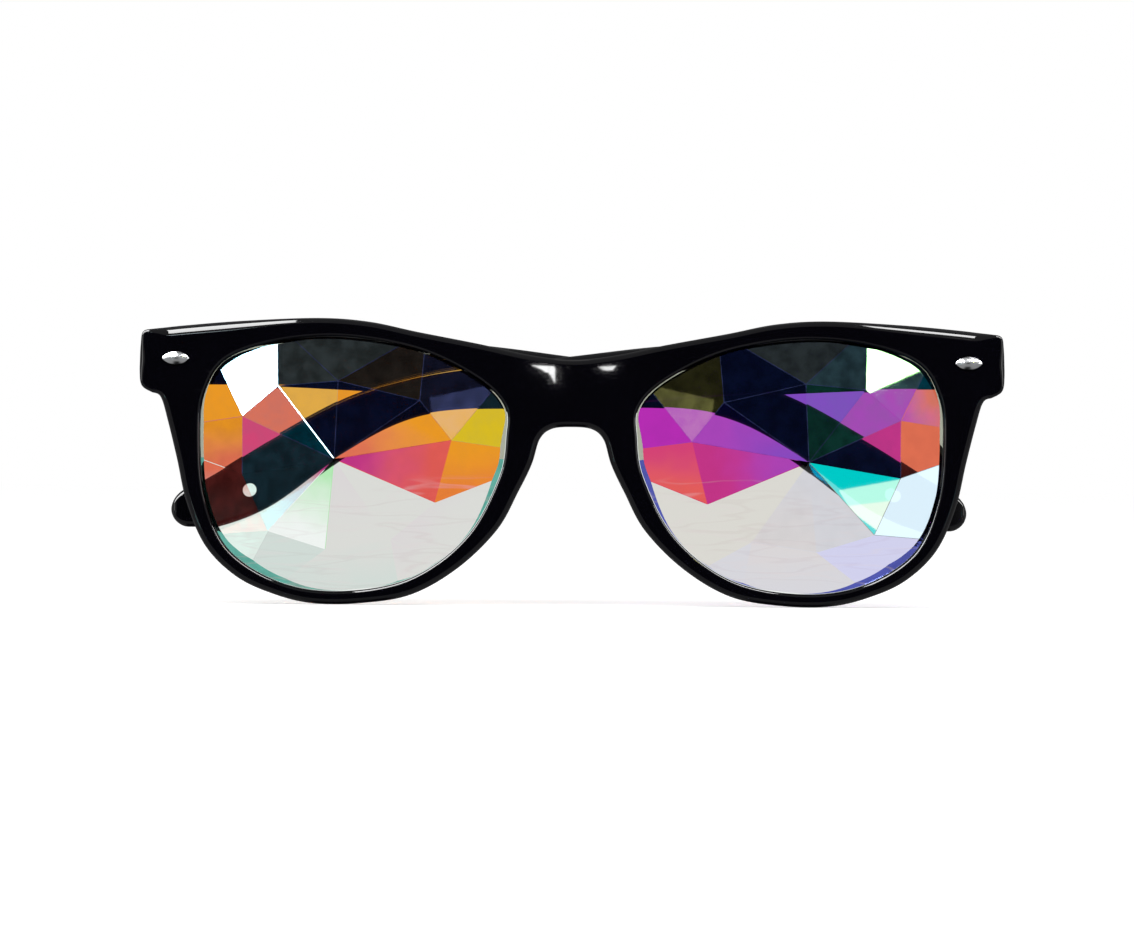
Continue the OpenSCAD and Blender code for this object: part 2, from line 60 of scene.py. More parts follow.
class Side(Enum):
    """The two halves, as the photograph shows them."""

    LEFT = -1
    RIGHT = 1

    @property
    def word(self) -> str:
        """The half's name as the CAD nodes spell it."""
        return self.name.lower()


# Curves


def ease(a: float, b: float, x: float) -> float:
    """0 below a, 1 above b, and smooth between."""
    q = max(0.0, min(1.0, (x - a) / (b - a)))
    return q * q * (3 - 2 * q)


def curve(a: np.ndarray, b: np.ndarray, c: np.ndarray, d: np.ndarray, f: float) -> np.ndarray:
    """A point of the smooth curve through b and c, at fraction f between them."""
    return 0.5 * (2 * b + (c - a) * f + (2 * a - 5 * b + 4 * c - d) * f * f
                  + (3 * b - a - 3 * c + d) * f * f * f)


def ring_at(points: np.ndarray, t: float) -> np.ndarray:
    """A point of the closed curve through points, t being a count of them."""
    n, i = len(points), math.floor(t)
    return curve(points[(i - 1) % n], points[i % n], points[(i + 1) % n], points[(i + 2) % n], t - i)


def path_through(points: list[Point], steps: int, first: Point, last: Point) -> list[np.ndarray]:
    """The open curve through points.

    Args:
        points: what it goes through.
        steps: how many steps lie between two points; a third of them where they are close.
        first: a point before the first one, which sets the direction there.
        last: the same after the last one.

    Returns:
        The points of the curve.
    """
    p = [np.array(q, float) for q in [first, *points, last]]
    out = []
    for i in range(1, len(p) - 2):
        n = max(2, steps // 3) if np.linalg.norm(p[i + 1] - p[i]) < 1.5 else steps
        out += [curve(p[i - 1], p[i], p[i + 1], p[i + 2], j / n) for j in range(n)]
    return out + [p[-2]]


def left_of(d: np.ndarray) -> np.ndarray:
    """The direction square to d, on its left."""
    return np.array([-d[1], d[0]]) / np.linalg.norm(d)


# Meshes


def mesh_object(name: str, points: Sequence[Point], faces: Sequence[Sequence[int]]) -> bpy.types.Object:
    """A mesh object from points in millimetres.

    Args:
        name: the object's name.
        points: its corners in millimetres.
        faces: its faces, as rows of corner numbers.

    Returns:
        The object, linked to the scene, at the origin.
    """
    mesh = bpy.data.meshes.new(name)
    mesh.from_pydata([tuple(float(v) * MM for v in p) for p in points], [], [tuple(f) for f in faces])
    mesh.validate()
    obj = bpy.data.objects.new(name, mesh)
    bpy.context.scene.collection.objects.link(obj)
    return obj


def tidy_mesh(obj: bpy.types.Object, merge_mm: float = 0.001) -> None:
    """Merges doubled corners and turns all faces outwards."""
    bm = bmesh.new()
    bm.from_mesh(obj.data)
    bmesh.ops.remove_doubles(bm, verts=bm.verts, dist=merge_mm * MM)
    bmesh.ops.dissolve_degenerate(bm, edges=bm.edges, dist=1e-7)
    bmesh.ops.recalc_face_normals(bm, faces=bm.faces)
    bm.to_mesh(obj.data)
    bm.free()


def bake_modifiers(obj: bpy.types.Object) -> None:
    """Turns an object's modifiers into a plain mesh."""
    graph = bpy.context.evaluated_depsgraph_get()
    done = bpy.data.meshes.new_from_object(obj.evaluated_get(graph), depsgraph=graph)
    done.name = obj.name
    obj.modifiers.clear()
    obj.data = done


def smooth_but_creases(obj: bpy.types.Object, degrees: float) -> None:
    """Shades an object smooth, but for edges sharper than so many degrees."""
    bm = bmesh.new()
    bm.from_mesh(obj.data)
    for f in bm.faces:
        f.smooth = True
    limit = math.radians(degrees)
    for e in bm.edges:
        e.smooth = len(e.link_faces) == 2 and e.calc_face_angle(0.0) < limit
    bm.to_mesh(obj.data)
    bm.free()


def round_edges(obj: bpy.types.Object, width: float, segments: int, degrees: float) -> None:
    """Bevels the edges sharper than so many degrees by a width in millimetres."""
    m = obj.modifiers.new("round", "BEVEL")
    m.width, m.segments, m.limit_method, m.angle_limit = width * MM, segments, "ANGLE", math.radians(degrees)
    bake_modifiers(obj)


def even_gloss(obj: bpy.types.Object, crease: float = 32, weight: int = 80) -> None:
    """Shades moulded plastic smooth, its large faces flat, so that gloss runs evenly over it."""
    smooth_but_creases(obj, crease)
    weigh = obj.modifiers.new("even", "WEIGHTED_NORMAL")
    weigh.keep_sharp, weigh.weight = True, weight
    bake_modifiers(obj)


def cut_away(obj: bpy.types.Object, cutters: list[bpy.types.Object], operation: str = "DIFFERENCE") -> None:
    """Cuts shapes out of an object, or joins them to it.

    Args:
        obj: the object that is changed.
        cutters: closed shapes, which are used up.
        operation: what the Boolean modifier does.
    """
    for c in cutters:
        m = obj.modifiers.new("cut", "BOOLEAN")
        m.operation, m.solver, m.object = operation, "EXACT", c
    bpy.context.view_layer.update()
    bake_modifiers(obj)
    for c in cutters:
        bpy.data.objects.remove(c)


def prism_y(name: str, outline: Sequence[Point], y0: float, y1: float) -> bpy.types.Object:
    """A prism whose outline lies in the XZ plane, from depth y0 to depth y1."""
    n = len(outline)
    points = [(p[0], y, p[1]) for y in (y0, y1) for p in outline]
    faces = [list(range(n)), list(range(2 * n - 1, n - 1, -1))]
    faces += [[i, n + i, n + (i + 1) % n, (i + 1) % n] for i in range(n)]
    obj = mesh_object(name, points, faces)
    tidy_mesh(obj, 0.0001)
    return obj


def round_outline(x: float, z: float, r: float, sides: int = 48) -> list[Point]:
    """The corners of a circle in the XZ plane."""
    turns = np.linspace(0, 2 * math.pi, sides, endpoint=False)
    return [(x + r * math.cos(a), z + r * math.sin(a)) for a in turns]


def shift(x: float, y: float, z: float) -> Matrix:
    """A move in millimetres."""
    return Matrix.Translation((x * MM, y * MM, z * MM))


# Shader maths and finishes


class Signal:
    """A value socket that Python's operators work on; each adds a Math node."""

    def __init__(self, board: "Board", socket: bpy.types.NodeSocket) -> None:
        """Wraps an output socket."""
        self.board = board
        self.socket = socket

    def _math(self, operation: str, *values: "Number") -> "Signal":
        """Adds one Math node on these values."""
        return self.board.math(operation, *values)

    def __add__(self, other: "Number") -> "Signal":
        """self + other."""
        return self._math("ADD", self, other)

    __radd__ = __add__

    def __sub__(self, other: "Number") -> "Signal":
        """self - other."""
        return self._math("SUBTRACT", self, other)

    def __rsub__(self, other: "Number") -> "Signal":
        """other - self."""
        return self._math("SUBTRACT", other, self)

    def __mul__(self, other: "Number") -> "Signal":
        """self * other."""
        return self._math("MULTIPLY", self, other)

    __rmul__ = __mul__

    def __pow__(self, other: "Number") -> "Signal":
        """self to the power of other."""
        return self._math("POWER", self, other)

    def larger_than(self, limit: "Number") -> "Signal":
        """1 where it is above the limit, else 0."""
        return self._math("GREATER_THAN", self, limit)

    def size(self) -> "Signal":
        """The value without its sign."""
        return self._math("ABSOLUTE", self)

    def sine(self) -> "Signal":
        """The sine of an angle in radians."""
        return self._math("SINE", self)

    def root(self) -> "Signal":
        """The square root."""
        return self._math("SQRT", self)

    def larger(self, other: "Number") -> "Signal":
        """The larger of two values."""
        return self._math("MAXIMUM", self, other)

    def smooth(self, low: float, high: float) -> "Signal":
        """0 below low, 1 above high, and smooth between."""
        return Signal(self.board, self.board.node(
            "ShaderNodeMapRange", {"interpolation_type": "SMOOTHSTEP"},
            {0: self, 1: low, 2: high, 3: 0.0, 4: 1.0}).outputs[0])


Number = Union[Signal, float]
Colour = Union[bpy.types.NodeSocket, Sequence[float]]


class Board:
    """A node tree under construction."""

    def __init__(self, tree: bpy.types.NodeTree) -> None:
        """Starts from an emptied tree."""
        self.tree = tree
        tree.nodes.clear()

    def node(self, kind: str, settings: dict, sockets: dict) -> bpy.types.Node:
        """Adds a node.

        Args:
            kind: the node's type.
            settings: its properties, which are set first.
            sockets: its inputs by name or number, each a value, a socket or a Signal.

        Returns:
            The node.
        """
        made = self.tree.nodes.new(kind)
        for key, value in settings.items():
            setattr(made, key, value)
        for key, value in sockets.items():
            target = made.inputs[key]
            if isinstance(value, Signal):
                value = value.socket
            if isinstance(value, bpy.types.NodeSocket):
                self.tree.links.new(value, target)
            elif hasattr(target.default_value, "__len__"):
                given = tuple(value)
                target.default_value = given + (1.0,) * (len(target.default_value) - len(given))
            else:
                target.default_value = value
        return made

    def math(self, operation: str, *values: Number) -> Signal:
        """A Math node on values and Signals."""
        made = self.node("ShaderNodeMath", {"operation": operation}, dict(enumerate(values)))
        return Signal(self, made.outputs[0])

    def mix(self, amount: Number, a: Colour, b: Colour) -> bpy.types.NodeSocket:
        """Colour a where amount is 0 and colour b where it is 1."""
        n = self.node("ShaderNodeMix", {"data_type": "RGBA"}, {0: amount, 6: a, 7: b})
        return n.outputs[2]

    def attribute(self, name: str) -> bpy.types.Node:
        """The node that reads one attribute of the mesh."""
        return self.node("ShaderNodeAttribute", {"attribute_name": name}, {})

    def place(self) -> bpy.types.NodeSocket:
        """The Object coordinates."""
        return self.node("ShaderNodeTexCoord", {}, {}).outputs["Object"]

    def noise(self, scale: float, detail: float = 2.0, stretch: Point = (1, 1, 1)) -> Signal:
        """Noise from 0 to 1 on Object coordinates.

        Args:
            scale: how many blotches a metre.
            detail: the finer layers.
            stretch: how the pattern is squeezed along each axis.

        Returns:
            The noise.
        """
        spot = self.node("ShaderNodeMapping", {}, {0: self.place(), 3: stretch}).outputs[0]
        n = self.node("ShaderNodeTexNoise", {}, {"Vector": spot, "Scale": scale, "Detail": detail})
        return Signal(self, n.outputs[0])

    def bump(self, height: Signal, strength: float, distance: float) -> bpy.types.NodeSocket:
        """A Bump node's normal."""
        made = self.node("ShaderNodeBump", {}, {"Height": height, "Strength": strength, "Distance": distance})
        return made.outputs[0]

    def glow(self, strength: Number, tone: Sequence[float] = (1, 1, 1)) -> bpy.types.NodeSocket:
        """An Emission node's light."""
        return self.node("ShaderNodeEmission", {}, {"Color": tone, "Strength": strength}).outputs[0]

    def rays(self) -> tuple[Signal, Signal, Signal]:
        """1 for what the eye sees, 1 for what it sees through glass, and 1 for what gloss sees."""
        ray = self.node("ShaderNodeLightPath", {}, {})
        seen, through = (Signal(self, ray.outputs[key]) for key in ("Is Camera Ray", "Is Transmission Ray"))
        return seen, through, Signal(self, ray.outputs["Glossy Depth"]).larger_than(0.5)

    def surface(self, shader: bpy.types.NodeSocket, kind: str = "ShaderNodeOutputMaterial") -> None:
        """Ends the tree in its output."""
        self.node(kind, {}, {0: shader})


def lit(r: float, g: float, b: float) -> tuple[float, float, float]:
    """A colour as it looks on a screen, turned into light."""
    def one(c: float) -> float:
        """One channel."""
        return c / 12.92 if c <= 0.04045 else ((c + 0.055) / 1.055) ** 2.4
    return one(r), one(g), one(b)


def new_board(name: str) -> tuple[bpy.types.Material, Board]:
    """A new material and its emptied tree."""
    m = bpy.data.materials.new(name)
    m.use_nodes = True
    return m, Board(m.node_tree)


@dataclass(frozen=True)
class PolishedPlastic:
    """Tumble-polished black moulded plastic, with faint sink waves and fine wear."""

    name: str = "polished_black_plastic"
    base: tuple[float, float, float] = (0.0012, 0.0011, 0.0022)
    gloss: float = 0.035

    def make(self) -> bpy.types.Material:
        """Builds the material."""
        m, b = new_board(self.name)
        wear = b.noise(900, 4, (1, 1, 4))
        waves = b.noise(55, 1)
        rough = self.gloss + 0.05 * wear.smooth(0.45, 0.8)
        base = b.mix(b.noise(120, 3), self.base, tuple(1.5 * c for c in self.base))
        shader = b.node("ShaderNodeBsdfPrincipled", {}, {
            "Base Color": base, "Roughness": rough, "IOR": 1.5, "Specular IOR Level": 0.25,
            "Coat Weight": 0.5, "Coat Roughness": 0.02, "Coat IOR": 1.45,
            "Normal": b.bump(waves, 0.05, 0.0004)})
        b.surface(shader.outputs[0])
        return m


@dataclass(frozen=True)
class BareMetal:
    """A metal with a tone, a gloss and fine marks along one way."""

    name: str
    tone: tuple[float, float, float]
    gloss: float
    marks: float

    def make(self) -> bpy.types.Material:
        """Builds the material."""
        m, b = new_board(self.name)
        grain = b.noise(2600, 3, (1, 1, 0.15))
        rough = self.gloss + self.marks * grain
        tone = b.mix(b.noise(500, 2).smooth(0.35, 0.75), self.tone, tuple(0.86 * c for c in self.tone))
        shader = b.node("ShaderNodeBsdfPrincipled", {}, {
            "Base Color": tone, "Metallic": 1.0, "Roughness": rough,
            "Normal": b.bump(grain, 0.06, 0.00004)})
        b.surface(shader.outputs[0])
        return m


class Tint(Enum):
    """The colours that the lens coating passes or throws back, as they look on a screen."""

    CLEAR = (0.97, 0.98, 0.975)
    MINT = (0.93, 1.0, 0.975)
    LIME = (0.72, 0.93, 0.72)
    PALE = (0.885, 0.88, 0.87)
    BLUSH = (0.885, 0.86, 0.87)
    GREY = (0.845, 0.88, 0.865)
    BEIGE = (0.885, 0.87, 0.85)
    LILAC = (0.87, 0.86, 0.89)
    LAVENDER = (0.85, 0.84, 0.96)
    ICE = (0.9, 0.97, 1.0)
    AMBER = (0.96, 0.62, 0.12)
    HONEY = (0.93, 0.7, 0.28)
    YELLOW = (0.89, 0.76, 0.07)
    ORANGE = (0.95, 0.52, 0.2)
    SALMON = (0.92, 0.46, 0.34)
    CORAL = (0.93, 0.38, 0.35)
    ROSE = (0.87, 0.27, 0.47)
    MAGENTA = (0.8, 0.22, 0.55)
    FUCHSIA = (0.75, 0.18, 0.73)
    PURPLE = (0.69, 0.28, 0.75)
    VIOLET = (0.53, 0.3, 0.78)
    NAVY = (0.22, 0.32, 0.64)
    INDIGO = (0.25, 0.25, 0.85)
    AZURE = (0.55, 0.62, 0.97)
    SLATE = (0.73, 0.83, 0.86)
    UMBER = (0.67, 0.62, 0.57)
    STEEL = (0.42, 0.7, 0.82)
    SKY = (0.6, 0.86, 0.95)
    TEAL = (0.1, 0.78, 0.95)
    FERN = (0.3, 0.78, 0.7)
    SEA = (0.3, 0.86, 0.74)
    OLIVE = (0.97, 0.97, 0.57)
    RUST = (0.93, 0.42, 0.4)
    SILVER = (0.9, 0.92, 0.93)
    AQUA = (0.5, 0.85, 0.79)
    PERIWINKLE = (0.42, 0.45, 0.86)
    CREAM = (0.97, 0.98, 0.9)

    @property
    def light(self) -> tuple[float, float, float]:
        """The colour as light."""
        return lit(*self.value)

    @property
    def passed(self) -> tuple[float, float, float]:
        """What one ground face has to be told, as the glass takes the root of it."""
        return tuple(c * c for c in self.light)


@dataclass(frozen=True)
class Facet:
    """The looks of one ground facet.

    Args:
        near: what it passes where its colour starts.
        far: what it passes where its colour ends.
        sheen: what it throws back.
        mirror: how much it throws back.
        fall: the way that the colour runs, in degrees from outwards up; None runs from the middle out.
    """

    near: Tint
    far: Tint
    sheen: Tint = Tint.SILVER
    mirror: float = 0.0
    fall: Union[float, None] = None


@dataclass(frozen=True)
class PrismGlass:
    """Clear glass under a rainbow coating, whose colour changes from facet to facet.

    Args:
        name: the material's name.
        index: the glass's refractive index.
        drift: how far noise shifts the run of a facet's colours.
        ripples: how strong the wavy streaks low in the lens are; they are painted shade that stands in for
            the wrinkles of a sheet seen through the glass.
        streak: the colour of that painted shade.
        bare: the colour of the uncoated glass's own reflections.
        gloss: the roughness of the coating's reflections.
    """

    name: str
    index: float = 1.5
    drift: float = 0.5
    ripples: float = 0.2
    streak: tuple[float, float, float] = (0.62, 0.47, 0.5)
    bare: tuple[float, float, float] = (0.12, 0.12, 0.2)
    gloss: float = 0.012

    def make(self) -> bpy.types.Material:
        """Builds the material from the facets' attributes."""
        m, b = new_board(self.name)
        near, far, sheen = (b.attribute(key).outputs["Color"] for key in ("near", "far", "sheen"))
        reach, strong = (Signal(b, b.attribute(key).outputs["Fac"]) for key in ("reach", "mirror"))
        drift = (b.noise(170, 2) - 0.5) * self.drift
        passed = b.mix((reach + drift).smooth(0.1, 0.9), near, far)
        # Painted shade: wavy streaks low in the lens, mixed into what the glass passes, stand in for the
        # shaded wrinkles of a sheet seen through it.
        ripple = 1 - ((b.noise(75, 2, (0.5, 1, 4.5)) - 0.5).size() * 26)
        low = Signal(b, b.node("ShaderNodeSeparateXYZ", {}, {0: b.place()}).outputs[2])
        ripple = ripple.smooth(0.2, 1.0) * (0 - low).smooth(0.008, 0.013) * self.ripples
        passed = b.mix(ripple, passed, self.streak)
        glass = b.node("ShaderNodeBsdfPrincipled", {}, {
            "Base Color": passed, "Roughness": 0.0, "IOR": self.index, "Transmission Weight": 1.0,
            "Specular Tint": self.bare})
        mirror = b.node("ShaderNodeBsdfPrincipled", {}, {
            "Base Color": sheen, "Metallic": 1.0, "Roughness": self.gloss})
        mottle = b.noise(420, 4).smooth(0.3, 0.7) * 0.7 + 0.6
        share = strong * (mottle + (1 - mottle) * strong.smooth(0.3, 0.5))
        mixed = b.node("ShaderNodeMixShader", {}, {0: share, 1: glass.outputs[0], 2: mirror.outputs[0]})
        b.surface(mixed.outputs[0])
        return m


@dataclass(frozen=True)
class PaperFloor:
    """A white sheet: plain white through glass, all but black to gloss, and matt otherwise.

    Args:
        name: the material's name.
        lift: how much the eye sees it brighter than the light makes it; it keeps the shadow.
        lost: the share that gloss doesn't see.
    """

    name: str = "white_floor"
    lift: float = 0.5
    lost: float = 0.99

    def make(self) -> bpy.types.Material:
        """Builds the material."""
        m, b = new_board(self.name)
        seen, through, glossy = b.rays()
        matt = b.node("ShaderNodeBsdfDiffuse", {}, {"Color": (0.8, 0.8, 0.8)}).outputs[0]
        both = b.node("ShaderNodeAddShader", {}, {0: matt, 1: b.glow(seen * self.lift)}).outputs[0]
        plain = b.glow(1 - self.lost * glossy)
        b.surface(b.node("ShaderNodeMixShader", {}, {0: through, 1: both, 2: plain}).outputs[0])
        return m


@dataclass(frozen=True)
class Wardrobe:
    """All finishes, made once."""

    plastic: bpy.types.Material
    chrome: bpy.types.Material
    steel: bpy.types.Material

    @classmethod
    def stock(cls) -> "Wardrobe":
        """Makes the finishes."""
        return cls(PolishedPlastic().make(),
                   BareMetal("polished_silver", (0.76, 0.77, 0.79), 0.17, 0.06).make(),
                   BareMetal("plain_steel", (0.52, 0.53, 0.55), 0.26, 0.16).make())


def dress(obj: bpy.types.Object, finish: bpy.types.Material) -> bpy.types.Object:
    """Gives an object one finish."""
    obj.data.materials.clear()
    obj.data.materials.append(finish)
    return obj


# The moulded front


@dataclass
class RimFront:
    """The moulded front with its two rims, bridge, end pieces and nose pads."""

    lens_w: float = 51.9
    lens_h: float = 43.1
    lens_z: float = -6.5
    bridge_gap: float = 22.1
    depth: float = 4.4
    rim_top: float = 2.9
    rim_side: float = 3.9
    rim_bottom: float = 2.2
    rim_nose: float = 3.9
    end_reach: float = 10.2
    end_top: float = 16.1
    end_low: float = 5.7
    bridge_h: float = 11.35
    groove_d: float = 0.8
    edge_r: float = 0.95
    brow_r: float = 1.7
    corner_r: float = 0.45
    lip_r: float = 0.45
    pad_d: float = 3.2
    boss_d: float = 1.4
    boss_r: float = 0.35
    boss_gap: float = 0.2
    boss_relief: float = 0.15
    plate_t: float = 1.3
    plate_y: float = 0.25
    clear: float = 0.1
    axis_in: float = 5.8
    barrel_r: float = 1.6
    leaf_len: float = 5.4
    stud_in: float = 6.1
    stud_z: float = 11.2
    steps: int = 9
    shape: np.ndarray = field(default_factory=lambda: np.array([
        [-0.99, 0.46], [-0.81, 0.68], [-0.43, 0.9], [0.06, 1], [0.5, 0.96], [0.83, 0.82], [0.97, 0.56],
        [1, 0.23], [0.965, -0.26], [0.81, -0.68], [0.46, -0.94], [0.05, -1], [-0.39, -0.89],
        [-0.75, -0.56], [-0.955, -0.1], [-1, 0.22]]))

    @property
    def lens_x(self) -> float:
        """The middle of the right opening."""
        return self.bridge_gap / 2 + self.lens_w / 2

    @property
    def end_x(self) -> float:
        """The tip of the right end piece."""
        return self.bridge_gap / 2 + self.lens_w + self.end_reach

    @property
    def axis(self) -> tuple[float, float]:
        """X and Y of the right hinge axis."""
        return self.end_x - self.axis_in, self.depth / 2 + self.boss_d + self.barrel_r

    def opening(self, t: float) -> np.ndarray:
        """A point of the right lens opening, X and Z."""
        q = ring_at(self.shape, t)
        return np.array([self.lens_x + q[0] * self.lens_w / 2, self.lens_z + q[1] * self.lens_h / 2])

    def opening_out(self, t: float) -> np.ndarray:
        """The way out of the opening at t."""
        return left_of(self.opening(t + 0.05) - self.opening(t - 0.05))

    def rim(self, t: float, w: float) -> list[float]:
        """A point w outside the opening, with its partner t."""
        return [*(self.opening(t) + w * self.opening_out(t)), t]

    def outline(self) -> list[np.ndarray]:
        """The right half of the outline: X, Z and the partner on the opening."""
        ex, et, el = self.end_x, self.end_top, self.end_low
        top, side, low, nose = self.rim_top, self.rim_side, self.rim_bottom, self.rim_nose
        p = [[0, self.bridge_h, 0.5], [7.1, self.bridge_h + 0.75, 1], [15.8, self.bridge_h + 2.6, 1.5],
             self.rim(2.1, top - 0.1), self.rim(2.7, top), self.rim(3.35, top + 0.2),
             [ex - 17.5, et + 1.5, 4.15], [ex - 8, et + 0.7, 4.75], [ex - 3.6, et + 0.2, 5.1],
             [ex - 2, et, 5.2], [ex - 1.15, et - 0.12, 5.27], [ex - 0.6, et - 0.42, 5.33],
             [ex - 0.33, et - 1, 5.4], [ex - 0.22, et - 2, 5.46], [ex - 0.08, et - 3.8, 5.57],
             [ex, et - 6.2, 5.7], [ex - 0.03, el + 2.8, 5.78], [ex - 0.13, el + 1.6, 5.84],
             [ex - 0.45, el + 0.75, 5.88], [ex - 1.1, el + 0.2, 5.92], [ex - 2.1, el - 0.3, 5.97],
             [ex - 3.6, el - 1.1, 6.1], self.rim(6.75, side + 1.5), self.rim(7.4, side),
             self.rim(8.05, side - 0.7), self.rim(8.75, side - 1.15), self.rim(9.35, low + 0.3),
             self.rim(9.9, low), self.rim(10.5, low), self.rim(11.2, low), self.rim(11.9, low + 0.4),
             self.rim(12.6, nose - 1.1), self.rim(13.3, nose - 0.4), self.rim(13.9, nose),
             [6.7, -6.3, 14.55], [5.4, -2.1, 15.05], [3.4, -0.35, 15.35], [0, 0, 15.6]]
        return path_through(p, self.steps, [-p[1][0], p[1][1], 0], [-p[-2][0], p[-2][1], 16])

    def front_round(self, p: Point) -> float:
        """Rounding of the front's outer edge: wider along the brow over the end pieces."""
        outwards = ease(self.end_x - 30, self.end_x - 12, p[0])
        wide = outwards * ease(self.end_top - 2.2, self.end_top - 0.4, p[1])
        return self.edge_r + (self.brow_r - self.edge_r) * wide

    def at_corners(self, p: np.ndarray, r: float) -> float:
        """Rounding r at p, less where the outline turns round the end piece's corners."""
        d = min(np.linalg.norm(p - [self.end_x - 0.6, self.end_top - 0.6]),
                np.linalg.norm(p - [self.end_x - 0.8, self.end_low + 0.6]))
        return self.corner_r + (r - self.corner_r) * ease(0.3, 5, d)

    def pad(self, t: float) -> float:
        """How much of the nose pad there is at partner t."""
        return ease(12.5, 13.7, t) * (1 - ease(14.3, 15.1, t))

    def section(self, station: np.ndarray, out: np.ndarray, bridge: bool) -> list[Point]:
        """The rim's section at one station.

        Args:
            station: X, Z and the partner.
            out: the way out of the outline there.
            bridge: whether the station climbs the middle of the bridge.

        Returns:
            Twelve points on the opening's side, then the outer ones, in one ring.
        """
        o, t = station[:2], station[2]
        i, ni = self.opening(t), self.opening_out(t)
        r, b = self.at_corners(o, self.front_round(o)), self.at_corners(o, self.edge_r)
        m = self.pad(t)
        fy, by = -self.depth / 2, self.depth / 2
        back, flare, lip = by + self.pad_d * m, 1.3 * m, self.lip_r
        g0 = self.plate_y - self.plate_t / 2 - self.clear
        g1 = g0 + self.plate_t + 2 * self.clear
        arc = [math.radians(a) for a in (0, 15, 30, 45, 60, 75, 90)]
        rows = [(i, ni, self.groove_d, g0), (i, ni, 0, g0)]
        rows += [(i, ni, lip * (1 - math.cos(a)), fy + lip * (1 - math.sin(a))) for a in arc[::2]]
        rows += [(o, out, -r * (1 - math.sin(a)), fy + r * (1 - math.cos(a))) for a in arc]
        rows += [(o, out, -flare - b * (1 - math.cos(a)), back - b * (1 - math.sin(a))) for a in arc]
        rows += [(i, ni, lip * (1 - math.sin(a)), by - lip * (1 - math.cos(a))) for a in arc[::2]]
        rows += [(i, ni, 0, g1), (i, ni, self.groove_d, g1)]
        if bridge:
            rows = [(p, n, 0 if p is o else w, min(y, by) if p is o else y) for p, n, w, y in rows]
        return [((p + w * n)[0], y, (p + w * n)[1]) for p, n, w, y in rows]

    def skin(self) -> bpy.types.Object:
        """Both halves of the front as one closed skin."""
        path = self.outline()
        n = len(path)
        climb = 8
        stations = list(path)
        for k in range(1, climb):
            q = k / climb
            z = self.brow_r + q * (self.bridge_h - 2 * self.brow_r)
            stations.append(np.array([0, z, 15.6 + 0.9 * q]))
        ways = []
        for k in range(len(stations)):
            if k == 0:
                ways.append(np.array([0.0, 1.0]))
            elif k >= n - 1:
                ways.append(np.array([0.0, -1.0]))
            else:
                ways.append(left_of(path[k + 1][:2] - path[k - 1][:2]))
        rings = [self.section(s, w, k >= n) for k, (s, w) in enumerate(zip(stations, ways))]
        m, total = len(rings[0]), len(rings)
        first_outer, last_outer = 6, 19
        points = [p for ring in rings for p in ring]
        points += [(-p[0], p[1], p[2]) for p in points]
        faces = []
        for h in (0, 1):
            for k in range(total):
                for j in range(m):
                    if k >= n - 1 and first_outer <= j < last_outer:
                        continue
                    k1, j1, base = (k + 1) % total, (j + 1) % m, h * total * m
                    f = [base + k * m + j, base + k * m + j1, base + k1 * m + j1, base + k1 * m + j]
                    faces.append(f if h == 0 else f[::-1])
        obj = mesh_object("rim_front", points, faces)
        tidy_mesh(obj, 0.002)
        return obj

    def boss_outline(self) -> list[Point]:
        """The outline of the block behind the right end piece."""
        a, e = self.axis[0], self.end_x
        return [(a - self.leaf_len - 0.6, self.end_low + 1.4), (a - self.leaf_len + 0.4, self.end_low + 0.4),
                (e - 1.7, self.end_low + 0.7), (e - 1.2, self.end_low + 1.3), (e - 0.9, self.end_top - 5.5),
                (e - 1.3, self.end_top - 1.5), (e - 1.9, self.end_top - 0.9),
                (a - self.leaf_len + 0.6, self.end_top - 0.6), (a - self.leaf_len - 0.6, self.end_top - 1.6)]

    def boss(self, side: Side) -> bpy.types.Object:
        """One end piece's block, its back edge rounded."""
        outline = [(side.value * x, z) for x, z in self.boss_outline()]
        behind_groove = self.plate_y + self.plate_t / 2 + self.clear + self.boss_gap
        back = self.depth / 2 + self.boss_d
        obj = prism_y("boss", outline, behind_groove, back)
        off = self.lip_r + self.boss_relief
        way = [self.opening(t) + off * self.opening_out(t) for t in np.arange(0, len(self.shape), 0.1)]
        cut_away(obj, [prism_y("boss_relief", [(side.value * x, z) for x, z in way], 0, back + 1)])
        tidy_mesh(obj, 0.0005)
        round_edges(obj, self.boss_r, 3, 50)
        return obj

    def build(self, wardrobe: Wardrobe, stud: "Stud") -> bpy.types.Object:
        """Makes the front, with the recesses of its studs."""
        front = self.skin()
        places = [side.value * (self.end_x - self.stud_in) for side in Side]
        cut_away(front, [stud.seat(x, -self.depth / 2, self.stud_z) for x in places])
        cut_away(front, [self.boss(side) for side in Side], "UNION")
        tidy_mesh(front, 0.0005)
        even_gloss(front)
        dress(front, wardrobe.plastic)
        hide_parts("front_frame")
        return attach(front, "front")


# Studs and rivets, by rule


